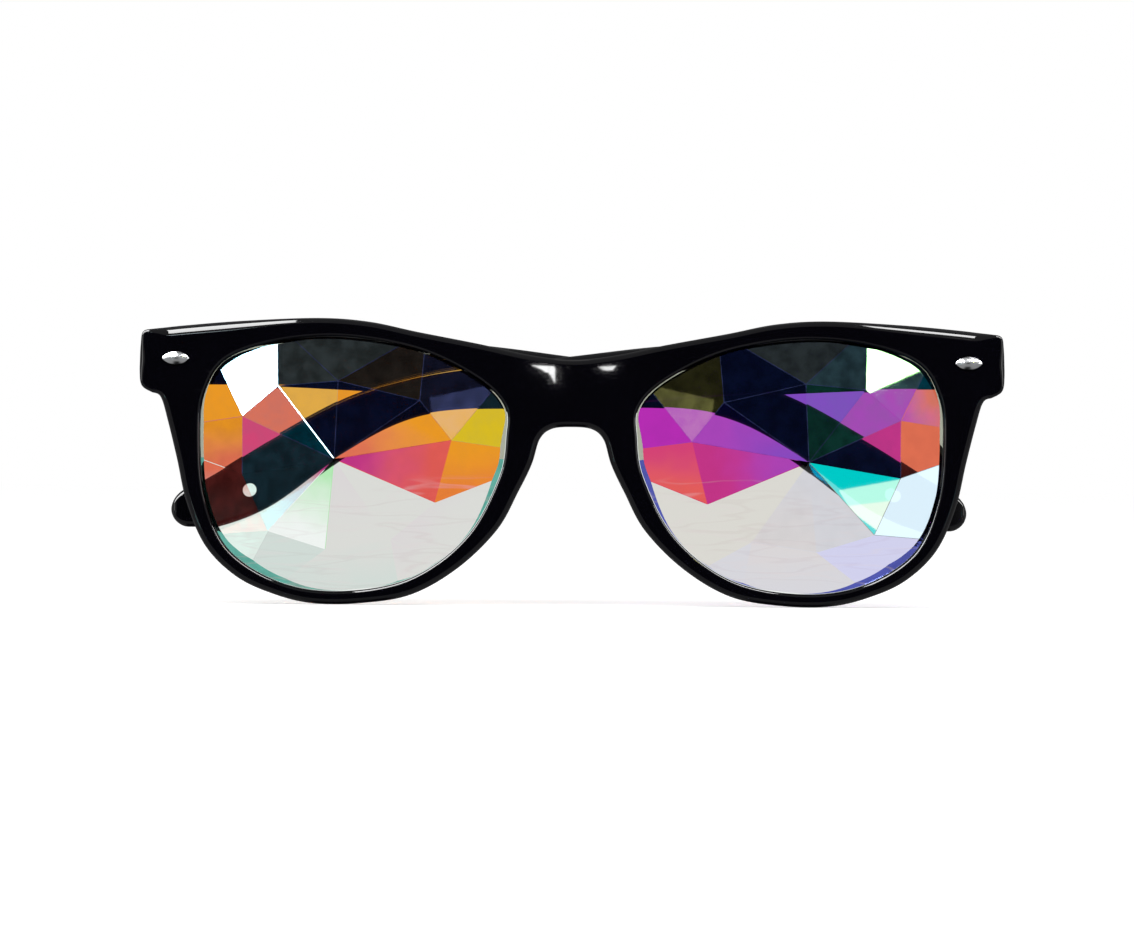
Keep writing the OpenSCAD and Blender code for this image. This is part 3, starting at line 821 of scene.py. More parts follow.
class Plan(Board):
    """A Geometry Nodes tree under construction."""

    def __init__(self, name: str, sizes: dict[str, float]) -> None:
        """Makes the tree with one named input for each size."""
        super().__init__(bpy.data.node_groups.new(name, "GeometryNodeTree"))
        face = self.tree.interface
        for key, value in sizes.items():
            face.new_socket(key, in_out="INPUT", socket_type="NodeSocketFloat").default_value = value
        face.new_socket("Finish", in_out="INPUT", socket_type="NodeSocketMaterial")
        face.new_socket("Geometry", in_out="OUTPUT", socket_type="NodeSocketGeometry")
        self.source = self.tree.nodes.new("NodeGroupInput")

    def size(self, key: str) -> Signal:
        """A named input."""
        return Signal(self, self.source.outputs[key])

    def position(self) -> tuple[Signal, Signal, Signal]:
        """Each corner's x, y and z."""
        spot = self.node("GeometryNodeInputPosition", {}, {}).outputs[0]
        split = self.node("ShaderNodeSeparateXYZ", {}, {0: spot})
        return tuple(Signal(self, split.outputs[k]) for k in range(3))

    def vector(self, x: Number = 0.0, y: Number = 0.0, z: Number = 0.0) -> bpy.types.NodeSocket:
        """A vector of three values."""
        return self.node("ShaderNodeCombineXYZ", {}, {0: x, 1: y, 2: z}).outputs[0]

    def put(self, mesh: bpy.types.NodeSocket, place: bpy.types.NodeSocket) -> bpy.types.NodeSocket:
        """A mesh with each of its corners put somewhere."""
        return self.node("GeometryNodeSetPosition", {}, {"Geometry": mesh, "Position": place}).outputs[0]

    def merge(self, mesh: bpy.types.NodeSocket, distance: float) -> bpy.types.NodeSocket:
        """A mesh whose corners within a distance are one."""
        made = self.node("GeometryNodeMergeByDistance", {}, {"Geometry": mesh, "Distance": distance})
        return made.outputs[0]

    def join(self, *parts: bpy.types.NodeSocket) -> bpy.types.NodeSocket:
        """Several meshes as one."""
        made = self.node("GeometryNodeJoinGeometry", {}, {})
        for part in parts:
            self.tree.links.new(part, made.inputs[0])
        return made.outputs[0]

    def end(self, geometry: bpy.types.NodeSocket) -> bpy.types.NodeTree:
        """Ends in Realize Instances and Set Material."""
        real = self.node("GeometryNodeRealizeInstances", {}, {0: geometry}).outputs[0]
        done = self.node("GeometryNodeSetMaterial", {}, {"Geometry": real, "Material": self.size("Finish")})
        out = self.tree.nodes.new("NodeGroupOutput")
        self.tree.links.new(done.outputs[0], out.inputs[0])
        return self.tree


def grow(name: str, tree: bpy.types.NodeTree, sizes: dict[str, float], finish: bpy.types.Material,
         place: Matrix) -> bpy.types.Object:
    """Runs a Geometry Nodes tree and keeps its plain mesh.

    Args:
        name: the new object's name.
        tree: the tree.
        sizes: values for its named inputs.
        finish: the material it sets.
        place: moves the mesh into the row frame.

    Returns:
        The object, at the origin.
    """
    obj = mesh_object(name, [(0, 0, 0)], [])
    mod = obj.modifiers.new("grow", "NODES")
    mod.node_group = tree
    for item in tree.interface.items_tree:
        if item.in_out == "INPUT" and item.name in sizes:
            mod[item.identifier] = sizes[item.name]
        elif item.in_out == "INPUT" and item.name == "Finish":
            mod[item.identifier] = finish
    bake_modifiers(obj)
    obj.data.transform(place)
    obj.data.update()
    return obj


@dataclass
class Stud:
    """A pointed oval silver stud: two arcs that meet at its tips, under a low dome."""

    length: float = 4.6
    height: float = 2.3
    rise: float = 0.75
    seat_d: float = 0.35
    seat_gap: float = 0.2
    seat_clear: float = 0.02
    dome_r: float = 3.9
    along: float = 0.9
    across: float = 4.0
    grid: tuple[int, int] = (49, 25)
    rolled: float = 0.12
    roll_power: float = 14.0
    tree: Union[bpy.types.NodeTree, None] = None

    def arc(self) -> float:
        """The radius of the two arcs."""
        a, b = self.length / 2, self.height / 2
        return (a * a + b * b) / (2 * b)

    def seat(self, x: float, y: float, z: float, back: bool = False) -> bpy.types.Object:
        """The shape that the recess takes out, for the plane at y."""
        r, b = self.arc(), self.height / 2
        span = math.sqrt((r + self.seat_gap) ** 2 - (r - b) ** 2)
        xs = [span * math.sin(math.radians(a)) for a in np.linspace(-90, 90, 33)]
        up = [(q, math.sqrt(max((r + self.seat_gap) ** 2 - q * q, 0)) - (r - b)) for q in xs]
        outline = [(x + q, z + h) for q, h in up] + [(x + q, z - h) for q, h in reversed(up[1:-1])]
        y0, y1 = (y - self.seat_d, y + 2) if back else (y - 2, y + self.seat_d)
        return prism_y("stud_seat", outline, y0, y1)

    def sizes(self) -> dict[str, float]:
        """The named inputs of the rule."""
        return {"Half length": self.length / 2, "Arc": self.arc(), "Arc drop": self.arc() - self.height / 2,
                "Dome": self.dome_r, "Rise": self.rise, "Wall": self.rise + self.seat_d - self.seat_clear,
                "Along": self.along, "Across": self.across}

    def plan(self) -> bpy.types.NodeTree:
        """The rule: a grid squeezed between two arcs, lifted onto a dome and given a wall."""
        p = Plan("pointed_oval_stud", self.sizes())
        arc, dome_r = p.size("Arc"), p.size("Dome")
        grid = p.node("GeometryNodeMeshGrid", {}, {
            "Size X": 2.0, "Size Y": 2.0, "Vertices X": self.grid[0], "Vertices Y": self.grid[1]})
        a, b, _ = p.position()
        x = (a * (math.pi / 2)).sine() * p.size("Half length")
        z = (b * (math.pi / 2)).sine() * ((arc * arc - x * x).root() - p.size("Arc drop")).larger(0.0)
        far = x * x * p.size("Along") + z * z * p.size("Across")
        y = dome_r - p.size("Rise") - (dome_r * dome_r - far).root()
        y = y + a.size().larger(b.size()) ** self.roll_power * self.rolled
        dome = p.merge(p.put(grid.outputs["Mesh"], p.vector(x, y, z)), 0.002)
        wall = p.node("GeometryNodeExtrudeMesh", {"mode": "FACES"}, {
            "Mesh": dome, "Offset": p.vector(y=p.size("Wall")), "Offset Scale": 1.0, "Individual": False})
        flipped = p.node("GeometryNodeFlipFaces", {}, {0: wall.outputs["Mesh"]}).outputs[0]
        return p.end(p.merge(p.join(flipped, dome), 0.0005))

    def build(self, node: str, body: str, matrix: Matrix, wardrobe: Wardrobe) -> bpy.types.Object:
        """Makes one stud.

        Args:
            node: the CAD node it stands for.
            body: the CAD body it rides on.
            matrix: from the stud's own frame in millimetres, crown towards -Y, to the row frame.
            wardrobe: the finishes.

        Returns:
            The stud.
        """
        self.tree = self.tree or self.plan()
        obj = grow(node + "_dome", self.tree, self.sizes(), wardrobe.chrome, matrix)
        tidy_mesh(obj, 0.0005)
        smooth_but_creases(obj, 50)
        dress(obj, wardrobe.chrome)
        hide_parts(node)
        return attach(obj, body)


@dataclass
class Rivets:
    """The two round-headed rivets of a hinge leaf."""

    shank_r: float = 0.5
    head_r: float = 0.9
    head_t: float = 0.35
    spread: float = 5.2
    shank: float = 1.2
    underside: float = -0.06
    tree: Union[bpy.types.NodeTree, None] = None

    def sizes(self) -> dict[str, float]:
        """The named inputs of the rule."""
        return {"Head": self.head_r, "Head height": self.head_t, "Shank": self.shank_r, "Length": self.shank,
                "Spread": self.spread}

    def plan(self) -> bpy.types.NodeTree:
        """The rule: a line of two points, a domed head and a shank on each."""
        p = Plan("leaf_rivets", self.sizes())
        ball = p.node("GeometryNodeMeshUVSphere", {}, {"Segments": 28, "Rings": 14, "Radius": 1.0})
        a, b, c = p.position()
        crown = c.larger(self.underside) * p.size("Head height")
        at = p.vector(a * p.size("Head"), crown, b * p.size("Head"))
        head = p.put(ball.outputs["Mesh"], at)
        rod = p.node("GeometryNodeMeshCylinder", {}, {
            "Vertices": 24, "Radius": p.size("Shank"), "Depth": p.size("Length")}).outputs["Mesh"]
        turned = p.node("GeometryNodeTransform", {}, {"Geometry": rod, "Rotation": (math.pi / 2, 0, 0)})
        shank = p.node("GeometryNodeTransform", {}, {
            "Geometry": turned.outputs[0], "Translation": p.vector(y=p.size("Length") * -0.5)})
        start, step = p.vector(z=p.size("Spread") * -0.5), p.vector(z=p.size("Spread"))
        line = p.node("GeometryNodeMeshLine", {}, {"Count": 2, "Start Location": start, "Offset": step})
        row = p.node("GeometryNodeInstanceOnPoints", {}, {
            "Points": line.outputs[0], "Instance": p.join(shank.outputs[0], head)})
        return p.end(row.outputs[0])

    def build(self, node: str, body: str, matrix: Matrix, wardrobe: Wardrobe) -> bpy.types.Object:
        """Makes the two rivets of one leaf.

        Args:
            node: the CAD node they stand for.
            body: the CAD body they ride on.
            matrix: from the rivets' own frame in millimetres, heads towards +Y, to the row frame.
            wardrobe: the finishes.

        Returns:
            The rivets, as one object.
        """
        self.tree = self.tree or self.plan()
        obj = grow(node + "_pair", self.tree, self.sizes(), wardrobe.steel, matrix)
        tidy_mesh(obj, 0.0002)
        smooth_but_creases(obj, 40)
        dress(obj, wardrobe.steel)
        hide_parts(node)
        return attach(obj, body)


# The lenses


PLAIN, WALL = -1, -2


@dataclass(frozen=True)
class Coating:
    """The looks of one lens.

    Args:
        facets: one entry for each facet: the inner ones, the outer ones, then the tips.
        wall_low: the leaning rim wall below the lens's middle.
        wall_high: the rim wall above it.
        glint: the crease that throws a bright line, where the lens has one.
    """

    facets: tuple[Facet, ...]
    wall_low: Facet
    wall_high: Facet
    glint: Union[Facet, None] = None


@dataclass
class PrismLens:
    """One lens: a flat plate in the groove, and a blank on it that is ground to facets.

    Args:
        front: the moulded front that holds it.
        crown: how far its highest point stands off the plate.
        inner_slope: the usual slope of the facets around the middle, in degrees.
        outer_slope: the usual slope of the facets towards the rim and at the tips.
        sides: how many sides its outline has.
        crease: the width of the bevel between two facets.
        bright_crease: the same between the two facets whose crease throws a line of light.
        rim_slope: how far the blank's wall leans in, in degrees.
        foot_slope: the same at the foot of the lens.
        middle_x: how far the highest point lies outwards from the opening's middle.
        middle_z: how far it lies above it.
        same_way: how well a face's way has to agree with a facet's, 1 being all.
        glint_way: the same for the crease that throws a line of light.
        on_plane: how far a face may lie off its facet's plane.
        beside_plane: how far a crease may lie off the planes of its facets.
        wall_ways: the depth part of a wall face's way, lowest and highest.
        proud: how far a crease stands off the plate at least.
        warm_r: how far from the middle a crease takes the colour that its facet starts with.
        crease_light: how much a crease above the middle throws back.
        inner_run: where the colours of an inner facet start to change, and over what width.
        outer_run: the same on an outer facet or a tip.
        corners: each corner's X and Z from the middle, and its share of the inner slope.
        side_slopes: each outer facet's share of the outer slope.
        tips: each tip's corner, its way in degrees and its share of the outer slope.
    """

    front: RimFront
    crown: float = 4.4
    inner_slope: float = 6.5
    outer_slope: float = 13.0
    sides: int = 160
    crease: float = 0.05
    bright_crease: float = 0.09
    rim_slope: float = 25.0
    foot_slope: float = 42.0
    middle_x: float = 3.0
    middle_z: float = 0.8
    same_way: float = 0.99998
    glint_way: float = 0.99975
    on_plane: float = 0.02
    beside_plane: float = 0.08
    wall_ways: tuple[float, float] = (-0.85, -0.2)
    proud: float = 0.05
    warm_r: float = 8.0
    crease_light: float = 0.3
    inner_run: tuple = (0.0, 16.0)
    outer_run: tuple = (13.0, 13.0)
    corners: tuple = ((-0.5, 13.2, 1.3), (9.6, 12.3, 1.05), (15.6, 7.1, 0.9), (15.6, -2.6, 1.06),
                      (11.2, -12.2, 0.89), (1.5, -15.2, 1.12), (-9.5, -13.5, 0.935), (-17, -7.2, 0.87),
                      (-19.7, 3.3, 0.6), (-14.3, 10, 1.01))
    side_slopes: tuple = (0.956, 1.185, 0.826, 0.96, 1.013, 1.454, 1.387, 0.718, 1.039, 0.964)
    tips: tuple = ((0, 95.9, 1.139), (2, 40.6, 1.261), (4, -35.3, 1.087), (6, -119.2, 1.533),
                   (8, 137.1, 1.095))

    @property
    def seat_y(self) -> float:
        """The depth of the plate's front."""
        return self.front.plate_y - self.front.plate_t / 2

    @property
    def middle(self) -> np.ndarray:
        """The lens's highest point."""
        return np.array([self.front.lens_x + self.middle_x, self.seat_y - self.crown,
                         self.front.lens_z + self.middle_z])

    def corner(self, i: int) -> np.ndarray:
        """One corner where facets meet."""
        x, z, share = self.corners[i % len(self.corners)]
        drop = math.hypot(x, z) * share * math.tan(math.radians(self.inner_slope))
        return self.middle + np.array([x, drop, z])

    def facets(self) -> list[tuple[np.ndarray, np.ndarray]]:
        """Each facet's point and outward way: the inner ones, the outer ones, then the tips."""
        n, rise = len(self.corners), math.tan(math.radians(self.outer_slope))
        inner, outer, tips = [], [], []
        for i in range(n):
            a, b = self.corner(i), self.corner(i + 1)
            inner.append((self.middle, np.cross(b - self.middle, a - self.middle)))
            out = left_of(np.array([b[0] - a[0], b[2] - a[2]]))
            c = a + np.array([out[0], self.side_slopes[i] * rise, out[1]])
            outer.append((a, np.cross(b - a, c - a)))
        for i, way, share in self.tips:
            w, lean = math.radians(way), share * rise
            tips.append((self.corner(i), np.array([lean * math.cos(w), -1, lean * math.sin(w)])))
        done = []
        for p, v in inner + outer + tips:
            v = v / np.linalg.norm(v)
            done.append((p, v if v[1] < 0 else -v))
        return done

    def ring(self, grow_by: float, tall: float = 0.0) -> list[Point]:
        """The opening's outline, grown, or drawn in as the rim bevel leans over a height."""
        n, done = len(self.front.shape), []
        turned, span = 0.2, 0.5
        for k in range(self.sides):
            at, out = self.front.opening(k * n / self.sides), self.front.opening_out(k * n / self.sides)
            low = min(1.0, max(0.0, (-out[1] - turned) / span))
            slope = math.radians(self.rim_slope + (self.foot_slope - self.rim_slope) * low)
            done.append(tuple(at + (grow_by - tall * math.tan(slope)) * out))
        return done

    def blank(self) -> bpy.types.Object:
        """The ground blank, before it is joined to the plate; its wall leans in towards the front."""
        f, n = self.front, self.sides
        tall = self.seat_y - self.middle[1] + 1
        loops = [(self.ring(-f.clear, tall), self.seat_y - tall), (self.ring(-f.clear), self.seat_y),
                 (self.ring(-f.clear), f.plate_y)]
        points = [(x, y, z) for ring, y in loops for x, z in ring]
        faces = [[k * n + i, k * n + (i + 1) % n, (k + 1) * n + (i + 1) % n, (k + 1) * n + i]
                 for k in (0, 1) for i in range(n)]
        obj = mesh_object("lens_blank", points, faces + [list(range(n)), list(range(2 * n, 3 * n))])
        tidy_mesh(obj, 0.0001)
        bm = bmesh.new()
        bm.from_mesh(obj.data)
        for p, way in self.facets():
            cut = bmesh.ops.bisect_plane(bm, geom=[*bm.verts, *bm.edges, *bm.faces], dist=1e-9,
                                         plane_co=Vector(p * MM), plane_no=Vector(way), clear_outer=True)
            rim = [e for e in cut["geom_cut"] if isinstance(e, bmesh.types.BMEdge)]
            if rim:
                bmesh.ops.contextual_create(bm, geom=rim)
        bmesh.ops.remove_doubles(bm, verts=bm.verts, dist=2e-7)
        bmesh.ops.recalc_face_normals(bm, faces=bm.faces)
        bm.to_mesh(obj.data)
        bm.free()
        return obj

    def kinds(self, obj: bpy.types.Object, side: Side) -> list[int]:
        """For each face, which of facets() it lies in, or PLAIN for none, or WALL for the rim wall."""
        flip = np.array([side.value, 1, 1])
        planes = [(p * flip, way * flip) for p, way in self.facets()]
        out = []
        for poly in obj.data.polygons:
            n, c = np.array(poly.normal), np.array(poly.center) / MM
            kind = WALL if self.wall_ways[0] < n[1] < self.wall_ways[1] else PLAIN
            for k, (p, way) in enumerate(planes):
                if n @ way > self.same_way and abs((c - p) @ way) < self.on_plane:
                    kind = k
            out.append(kind)
        return out

    def solid(self, name: str, side: Side) -> bpy.types.Object:
        """The whole lens on its side of the front, with fine bevels on the creases."""
        f = self.front
        obj = self.blank()
        plate = prism_y("lens_plate", self.ring(f.groove_d - f.clear), self.seat_y, self.seat_y + f.plate_t)
        cut_away(obj, [plate], "UNION")
        obj.name = name
        if side is Side.LEFT:
            obj.data.transform(Matrix.Scale(-1, 4, (1, 0, 0)))
        tidy_mesh(obj, 0.0005)
        kinds = self.kinds(obj, side)
        pairs: dict[tuple[int, int], list[int]] = {}
        for poly, kind in zip(obj.data.polygons, kinds):
            for e in poly.edge_keys:
                pairs.setdefault(e, []).append(kind)
        weight = obj.data.attributes.new("bevel_weight_edge", "FLOAT", "EDGE")
        for e in obj.data.edges:
            two = sorted(pairs.get(e.key, []))
            if len(two) == 2 and two[0] >= 0 and two[0] != two[1]:
                bright = two == [0, 1] and side is Side.LEFT
                weight.data[e.index].value = 1.0 if bright else self.crease / self.bright_crease
        m = obj.modifiers.new("creases", "BEVEL")
        m.width, m.segments, m.limit_method = self.bright_crease * MM, 1, "WEIGHT"
        m.use_clamp_overlap = False
        bake_modifiers(obj)
        tidy_mesh(obj, 0.0002)
        return obj

    def crease_look(self, beside: Facet, spot: np.ndarray) -> Facet:
        """The look of a crease at a spot from the middle: one tint of its facet, and light above."""
        tint = beside.near if math.hypot(spot[0], spot[2]) < self.warm_r else beside.far
        look = replace(beside, near=tint, far=tint, fall=None)
        return replace(look, sheen=Tint.AZURE, mirror=self.crease_light) if spot[2] > 0 else look

    def runs(self, look: Facet, kind: int, side: Side, corners: list[np.ndarray]) -> list[float]:
        """How far each corner of a face lies along its run of colours.

        Args:
            look: the face's look.
            kind: which facet it is.
            side: which half it is in.
            corners: its corners, from the lens's middle.

        Returns:
            A share from 0 to 1 for each corner.
        """
        if look.fall is None:
            start, span = self.inner_run if kind < len(self.corners) else self.outer_run
            return [min(1.0, max(0.0, (math.hypot(v[0], v[2]) - start) / span)) for v in corners]
        w = math.radians(look.fall)
        along = [side.value * v[0] * math.cos(w) + v[2] * math.sin(w) for v in corners]
        return [(a - min(along)) / max(max(along) - min(along), 1e-6) for a in along]

    def paint(self, obj: bpy.types.Object, side: Side, coat: Coating) -> None:
        """Writes each facet's looks on the mesh as attributes.

        Args:
            obj: the lens.
            side: which half it is in.
            coat: the looks of this lens.
        """
        mesh, flip = obj.data, np.array([side.value, 1, 1])
        middle = self.middle * flip
        spots, ways = (np.array(part) * flip for part in zip(*self.facets()))
        glint = (ways[0] + ways[1]) / np.linalg.norm(ways[0] + ways[1])
        values: dict[str, list] = {"near": [], "far": [], "sheen": [], "mirror": []}
        reach = np.zeros(len(mesh.loops), np.float32)
        for poly, kind in zip(mesh.polygons, self.kinds(obj, side)):
            look = Facet(Tint.CLEAR, Tint.CLEAR)
            centre, way = np.array(poly.center) / MM, np.array(poly.normal)
            if kind >= 0:
                look = coat.facets[kind]
            elif kind == WALL:
                look = coat.wall_low if centre[2] < middle[2] else coat.wall_high
            elif centre[1] < self.seat_y - self.proud:
                off = np.abs(np.sum((centre - spots) * ways, axis=1))
                nearest = int(np.argmax(ways @ way - (off > self.beside_plane)))
                bright = coat.glint is not None and glint @ way > self.glint_way
                look = coat.glint if bright else self.crease_look(coat.facets[nearest], centre - middle)
            values["near"].append((*look.near.passed, 1.0))
            values["far"].append((*look.far.passed, 1.0))
            values["sheen"].append((*look.sheen.light, 1.0))
            values["mirror"].append(look.mirror)
            corners = [np.array(mesh.vertices[mesh.loops[li].vertex_index].co) / MM - middle
                       for li in poly.loop_indices]
            for li, run in zip(poly.loop_indices, self.runs(look, kind, side, corners)):
                reach[li] = run
        for key, rows in values.items():
            if key == "mirror":
                mesh.attributes.new(key, "FLOAT", "FACE").data.foreach_set("value", rows)
            else:
                flat = [v for row in rows for v in row]
                mesh.attributes.new(key, "FLOAT_COLOR", "FACE").data.foreach_set("color", flat)
        mesh.attributes.new("reach", "FLOAT", "CORNER").data.foreach_set("value", reach)

    def build(self, side: Side) -> bpy.types.Object:
        """Makes and dresses the lens of one side."""
        node = side.word + "_lens"
        obj = self.solid(node + "_prism", side)
        self.paint(obj, side, COATINGS[side])
        dress(obj, PrismGlass(side.word + "_prism_glass").make())
        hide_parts(node)
        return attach(obj, "front")


T = Tint
COATINGS = {
    Side.LEFT: Coating((
        Facet(T.HONEY, T.HONEY, T.NAVY, 0.1), Facet(T.SALMON, T.SALMON, T.TEAL, 0.16),
        Facet(T.ROSE, T.ROSE, T.STEEL, 0.12), Facet(T.MAGENTA, T.MINT, T.STEEL, 0.1),
        Facet(T.LIME, T.CLEAR), Facet(T.BLUSH, T.PALE), Facet(T.PALE, T.PALE),
        Facet(T.MAGENTA, T.CORAL, T.NAVY, 0.08), Facet(T.SALMON, T.AMBER, T.NAVY, 0.06),
        Facet(T.AMBER, T.AMBER, T.NAVY, 0.09),
        Facet(T.AMBER, T.AMBER, T.SLATE, 0.12), Facet(T.SALMON, T.SALMON, T.SKY, 0.2),
        Facet(T.AMBER, T.SALMON, T.RUST, 0.2, -90), Facet(T.SALMON, T.MINT, T.RUST, 0.16, -90),
        Facet(T.GREY, T.GREY), Facet(T.PALE, T.GREY), Facet(T.BLUSH, T.PALE),
        Facet(T.AMBER, T.ORANGE, T.NAVY, 0.05, -90), Facet(T.HONEY, T.HONEY, T.AZURE, 0.04),
        Facet(T.AMBER, T.AMBER, T.UMBER, 0.07),
        Facet(T.AMBER, T.AMBER, T.SLATE, 0.12), Facet(T.AMBER, T.AMBER, T.NAVY, 0.06),
        Facet(T.MINT, T.MINT, T.RUST, 0.1), Facet(T.BLUSH, T.PALE), Facet(T.YELLOW, T.YELLOW, T.STEEL, 0.08)),
        wall_low=Facet(T.AQUA, T.AQUA, T.SEA, 0.4), wall_high=Facet(T.CREAM, T.CREAM, T.SILVER, 0.5),
        glint=Facet(T.CLEAR, T.CLEAR, T.ICE, 0.35)),
    Side.RIGHT: Coating((
        Facet(T.VIOLET, T.VIOLET, T.FERN, 0.1), Facet(T.PURPLE, T.PURPLE, T.FERN, 0.16),
        Facet(T.MAGENTA, T.MAGENTA, T.NAVY, 0.12), Facet(T.CLEAR, T.ICE, T.CREAM, 0.85),
        Facet(T.LILAC, T.LILAC, T.ICE, 0.08), Facet(T.LILAC, T.BLUSH, T.ICE, 0.08), Facet(T.BEIGE, T.BEIGE),
        Facet(T.PURPLE, T.MAGENTA, T.INDIGO, 0.05), Facet(T.VIOLET, T.PURPLE, T.INDIGO, 0.06),
        Facet(T.VIOLET, T.VIOLET, T.NAVY, 0.09),
        Facet(T.VIOLET, T.VIOLET, T.SKY, 0.14), Facet(T.PURPLE, T.FUCHSIA, T.SKY, 0.2),
        Facet(T.SALMON, T.SALMON, T.RUST, 0.14, -90), Facet(T.ICE, T.ICE, T.ICE, 0.85),
        Facet(T.LAVENDER, T.LAVENDER), Facet(T.BLUSH, T.LILAC), Facet(T.BEIGE, T.BEIGE),
        Facet(T.CORAL, T.ROSE, T.INDIGO, 0.04, 90), Facet(T.PURPLE, T.PURPLE, T.OLIVE, 0.04),
        Facet(T.VIOLET, T.VIOLET, T.NAVY, 0.1),
        Facet(T.VIOLET, T.VIOLET, T.SLATE, 0.1), Facet(T.FUCHSIA, T.SALMON, T.TEAL, 0.16),
        Facet(T.LAVENDER, T.LAVENDER), Facet(T.LILAC, T.LILAC), Facet(T.FUCHSIA, T.FUCHSIA, T.NAVY, 0.08)),
        wall_low=Facet(T.PERIWINKLE, T.PERIWINKLE, T.AZURE, 0.4),
        wall_high=Facet(T.CREAM, T.CREAM, T.SILVER, 0.5))}


# The temples


@dataclass
class Temple:
    """One temple, in its own frame: s along +X from the hinge axis, thickness along +Y."""

    front: RimFront
    length: float = 135.4
    thick: float = 3.4
    root_extra: float = 0.2
    root_h: float = 10.2
    waist_h: float = 7.3
    tip_drop: float = 14.9
    ear_len: float = 41.6
    ear_h: float = 10.9
    edge_r: float = 1.0
    butt_r: float = 0.35
    lip_r: float = 0.12
    hole_r: float = 1.1
    hole_in: float = 13.9
    hole_up: float = 4.0
    fold_gap: float = 0.5
    face_gap: float = 0.3
    root_mid: float = 11.25
    stud_s: float = 6.2
    hinge_z: float = 11.0
    leaf_t: float = 0.8
    rivet_s: float = 1.9
    tip_round: float = 3.0
    steps: int = 14

    @property
    def inner(self) -> float:
        """Distance of the inner face from the hinge axis."""
        return self.front.barrel_r + self.face_gap

    @property
    def outer(self) -> float:
        """Distance of the outer face from the hinge axis, at the root."""
        return self.inner + self.thick + self.root_extra

    @property
    def tilt(self) -> float:
        """How far the folded temples lie off the front's plane, in radians."""
        return math.asin((self.thick + self.fold_gap) / (2 * self.front.axis[0]))

    def rows(self) -> list[np.ndarray]:
        """Rows of s, the upper edge's z and the lower edge's z, with the rounded tip."""
        bend, tip, n = self.length - self.ear_len, -self.tip_drop, self.length
        half = self.root_h / 2
        rows = [[-1.2, self.root_mid + half, self.root_mid - half],
                [18, self.root_mid + half - 0.6, self.root_mid - half - 0.35],
                [bend - 46, 14.3, 4.2], [bend - 26.5, 12.1, 2.75],
                [bend - 8, 2.3 + self.waist_h, 2.3], [bend + 2, 7.5, 0.4],
                [bend + 12, tip + 19.1, tip + 10],
                [n - 17.5, tip + 12.5, tip + 12.5 - self.ear_h - 0.3],
                [n - 8.5, tip + 7, tip + 7 - self.ear_h + 1.6], [n - 4, tip + 4.6, tip - 2.5],
                [n, tip + 3.3, tip - 2.3]]
        path = path_through(rows, self.steps, np.array(rows[0]) - [5, 0, 0], np.array(rows[-1]) + [4, -2, 1])
        out = [q for q in path if q[0] < n - self.tip_round - 0.2]
        for a in np.arange(0, 90, 5):
            s = n - self.tip_round * (1 - math.sin(math.radians(a)))
            out.append(self.closing(path, s))
        out.append(self.closing(path, n - 0.004))
        return out

    def closing(self, path: list[np.ndarray], s: float) -> np.ndarray:
        """A row of the rounded tip at s."""
        i = max(k for k in range(len(path) - 1) if path[k][0] <= s)
        f = (s - path[i][0]) / (path[i + 1][0] - path[i][0])
        q = path[i] + f * (path[i + 1] - path[i])
        mid = (q[1] + q[2]) / 2
        w = math.sqrt(max(1 - ((s - self.length + self.tip_round) / self.tip_round) ** 2, 0))
        return np.array([s, mid + w * (q[1] - mid), mid + w * (q[2] - mid)])

    def section(self, row: np.ndarray) -> list[Point]:
        """The rounded section at one row."""
        s, hi, lo = row
        tall = hi - lo
        r = min(self.edge_r, tall / 2.2)
        thin = min(1.0, tall / 3.5)
        grow_by = self.root_extra * (1 - ease(8, 30, s))
        mid = self.inner + self.thick / 2
        y0, y1 = mid - thin * self.thick / 2, mid + thin * self.thick / 2 + grow_by
        e = min(r, (y1 - y0) / 2.2)
        arc = [math.radians(a) for a in (0, 18, 36, 54, 72, 90)]
        ring = [(y1 - e + e * math.sin(a), lo + r - r * math.cos(a)) for a in arc]
        ring += [(y1 - e + e * math.cos(a), hi - r + r * math.sin(a)) for a in arc]
        ring += [(y0 + e - e * math.sin(a), hi - r + r * math.cos(a)) for a in arc]
        ring += [(y0 + e - e * math.cos(a), lo + r - r * math.sin(a)) for a in arc]
        return [(s, y, z) for y, z in ring]

    def matrix(self, side: Side) -> Matrix:
        """From the temple's own frame in metres to its folded place."""
        ax, ay = self.front.axis
        turn = self.tilt if side is Side.LEFT else -self.tilt
        place = Matrix.Translation((-ax * MM, ay * MM, 0)) @ Matrix.Rotation(turn, 4, "Z")
        return place if side is Side.LEFT else Matrix.Scale(-1, 4, (1, 0, 0)) @ place

    def skin(self) -> bpy.types.Object:
        """The temple's closed skin in its own frame."""
        rings = [self.section(r) for r in self.rows()]
        m, n = len(rings[0]), len(rings)
        points = [p for ring in rings for p in ring]
        faces = [[i * m + j, i * m + (j + 1) % m, (i + 1) * m + (j + 1) % m, (i + 1) * m + j]
                 for i in range(n - 1) for j in range(m)]
        faces += [list(range(m)), [(n - 1) * m + j for j in range(m)]]
        obj = mesh_object("temple", points, faces)
        tidy_mesh(obj, 0.0005)
        return obj

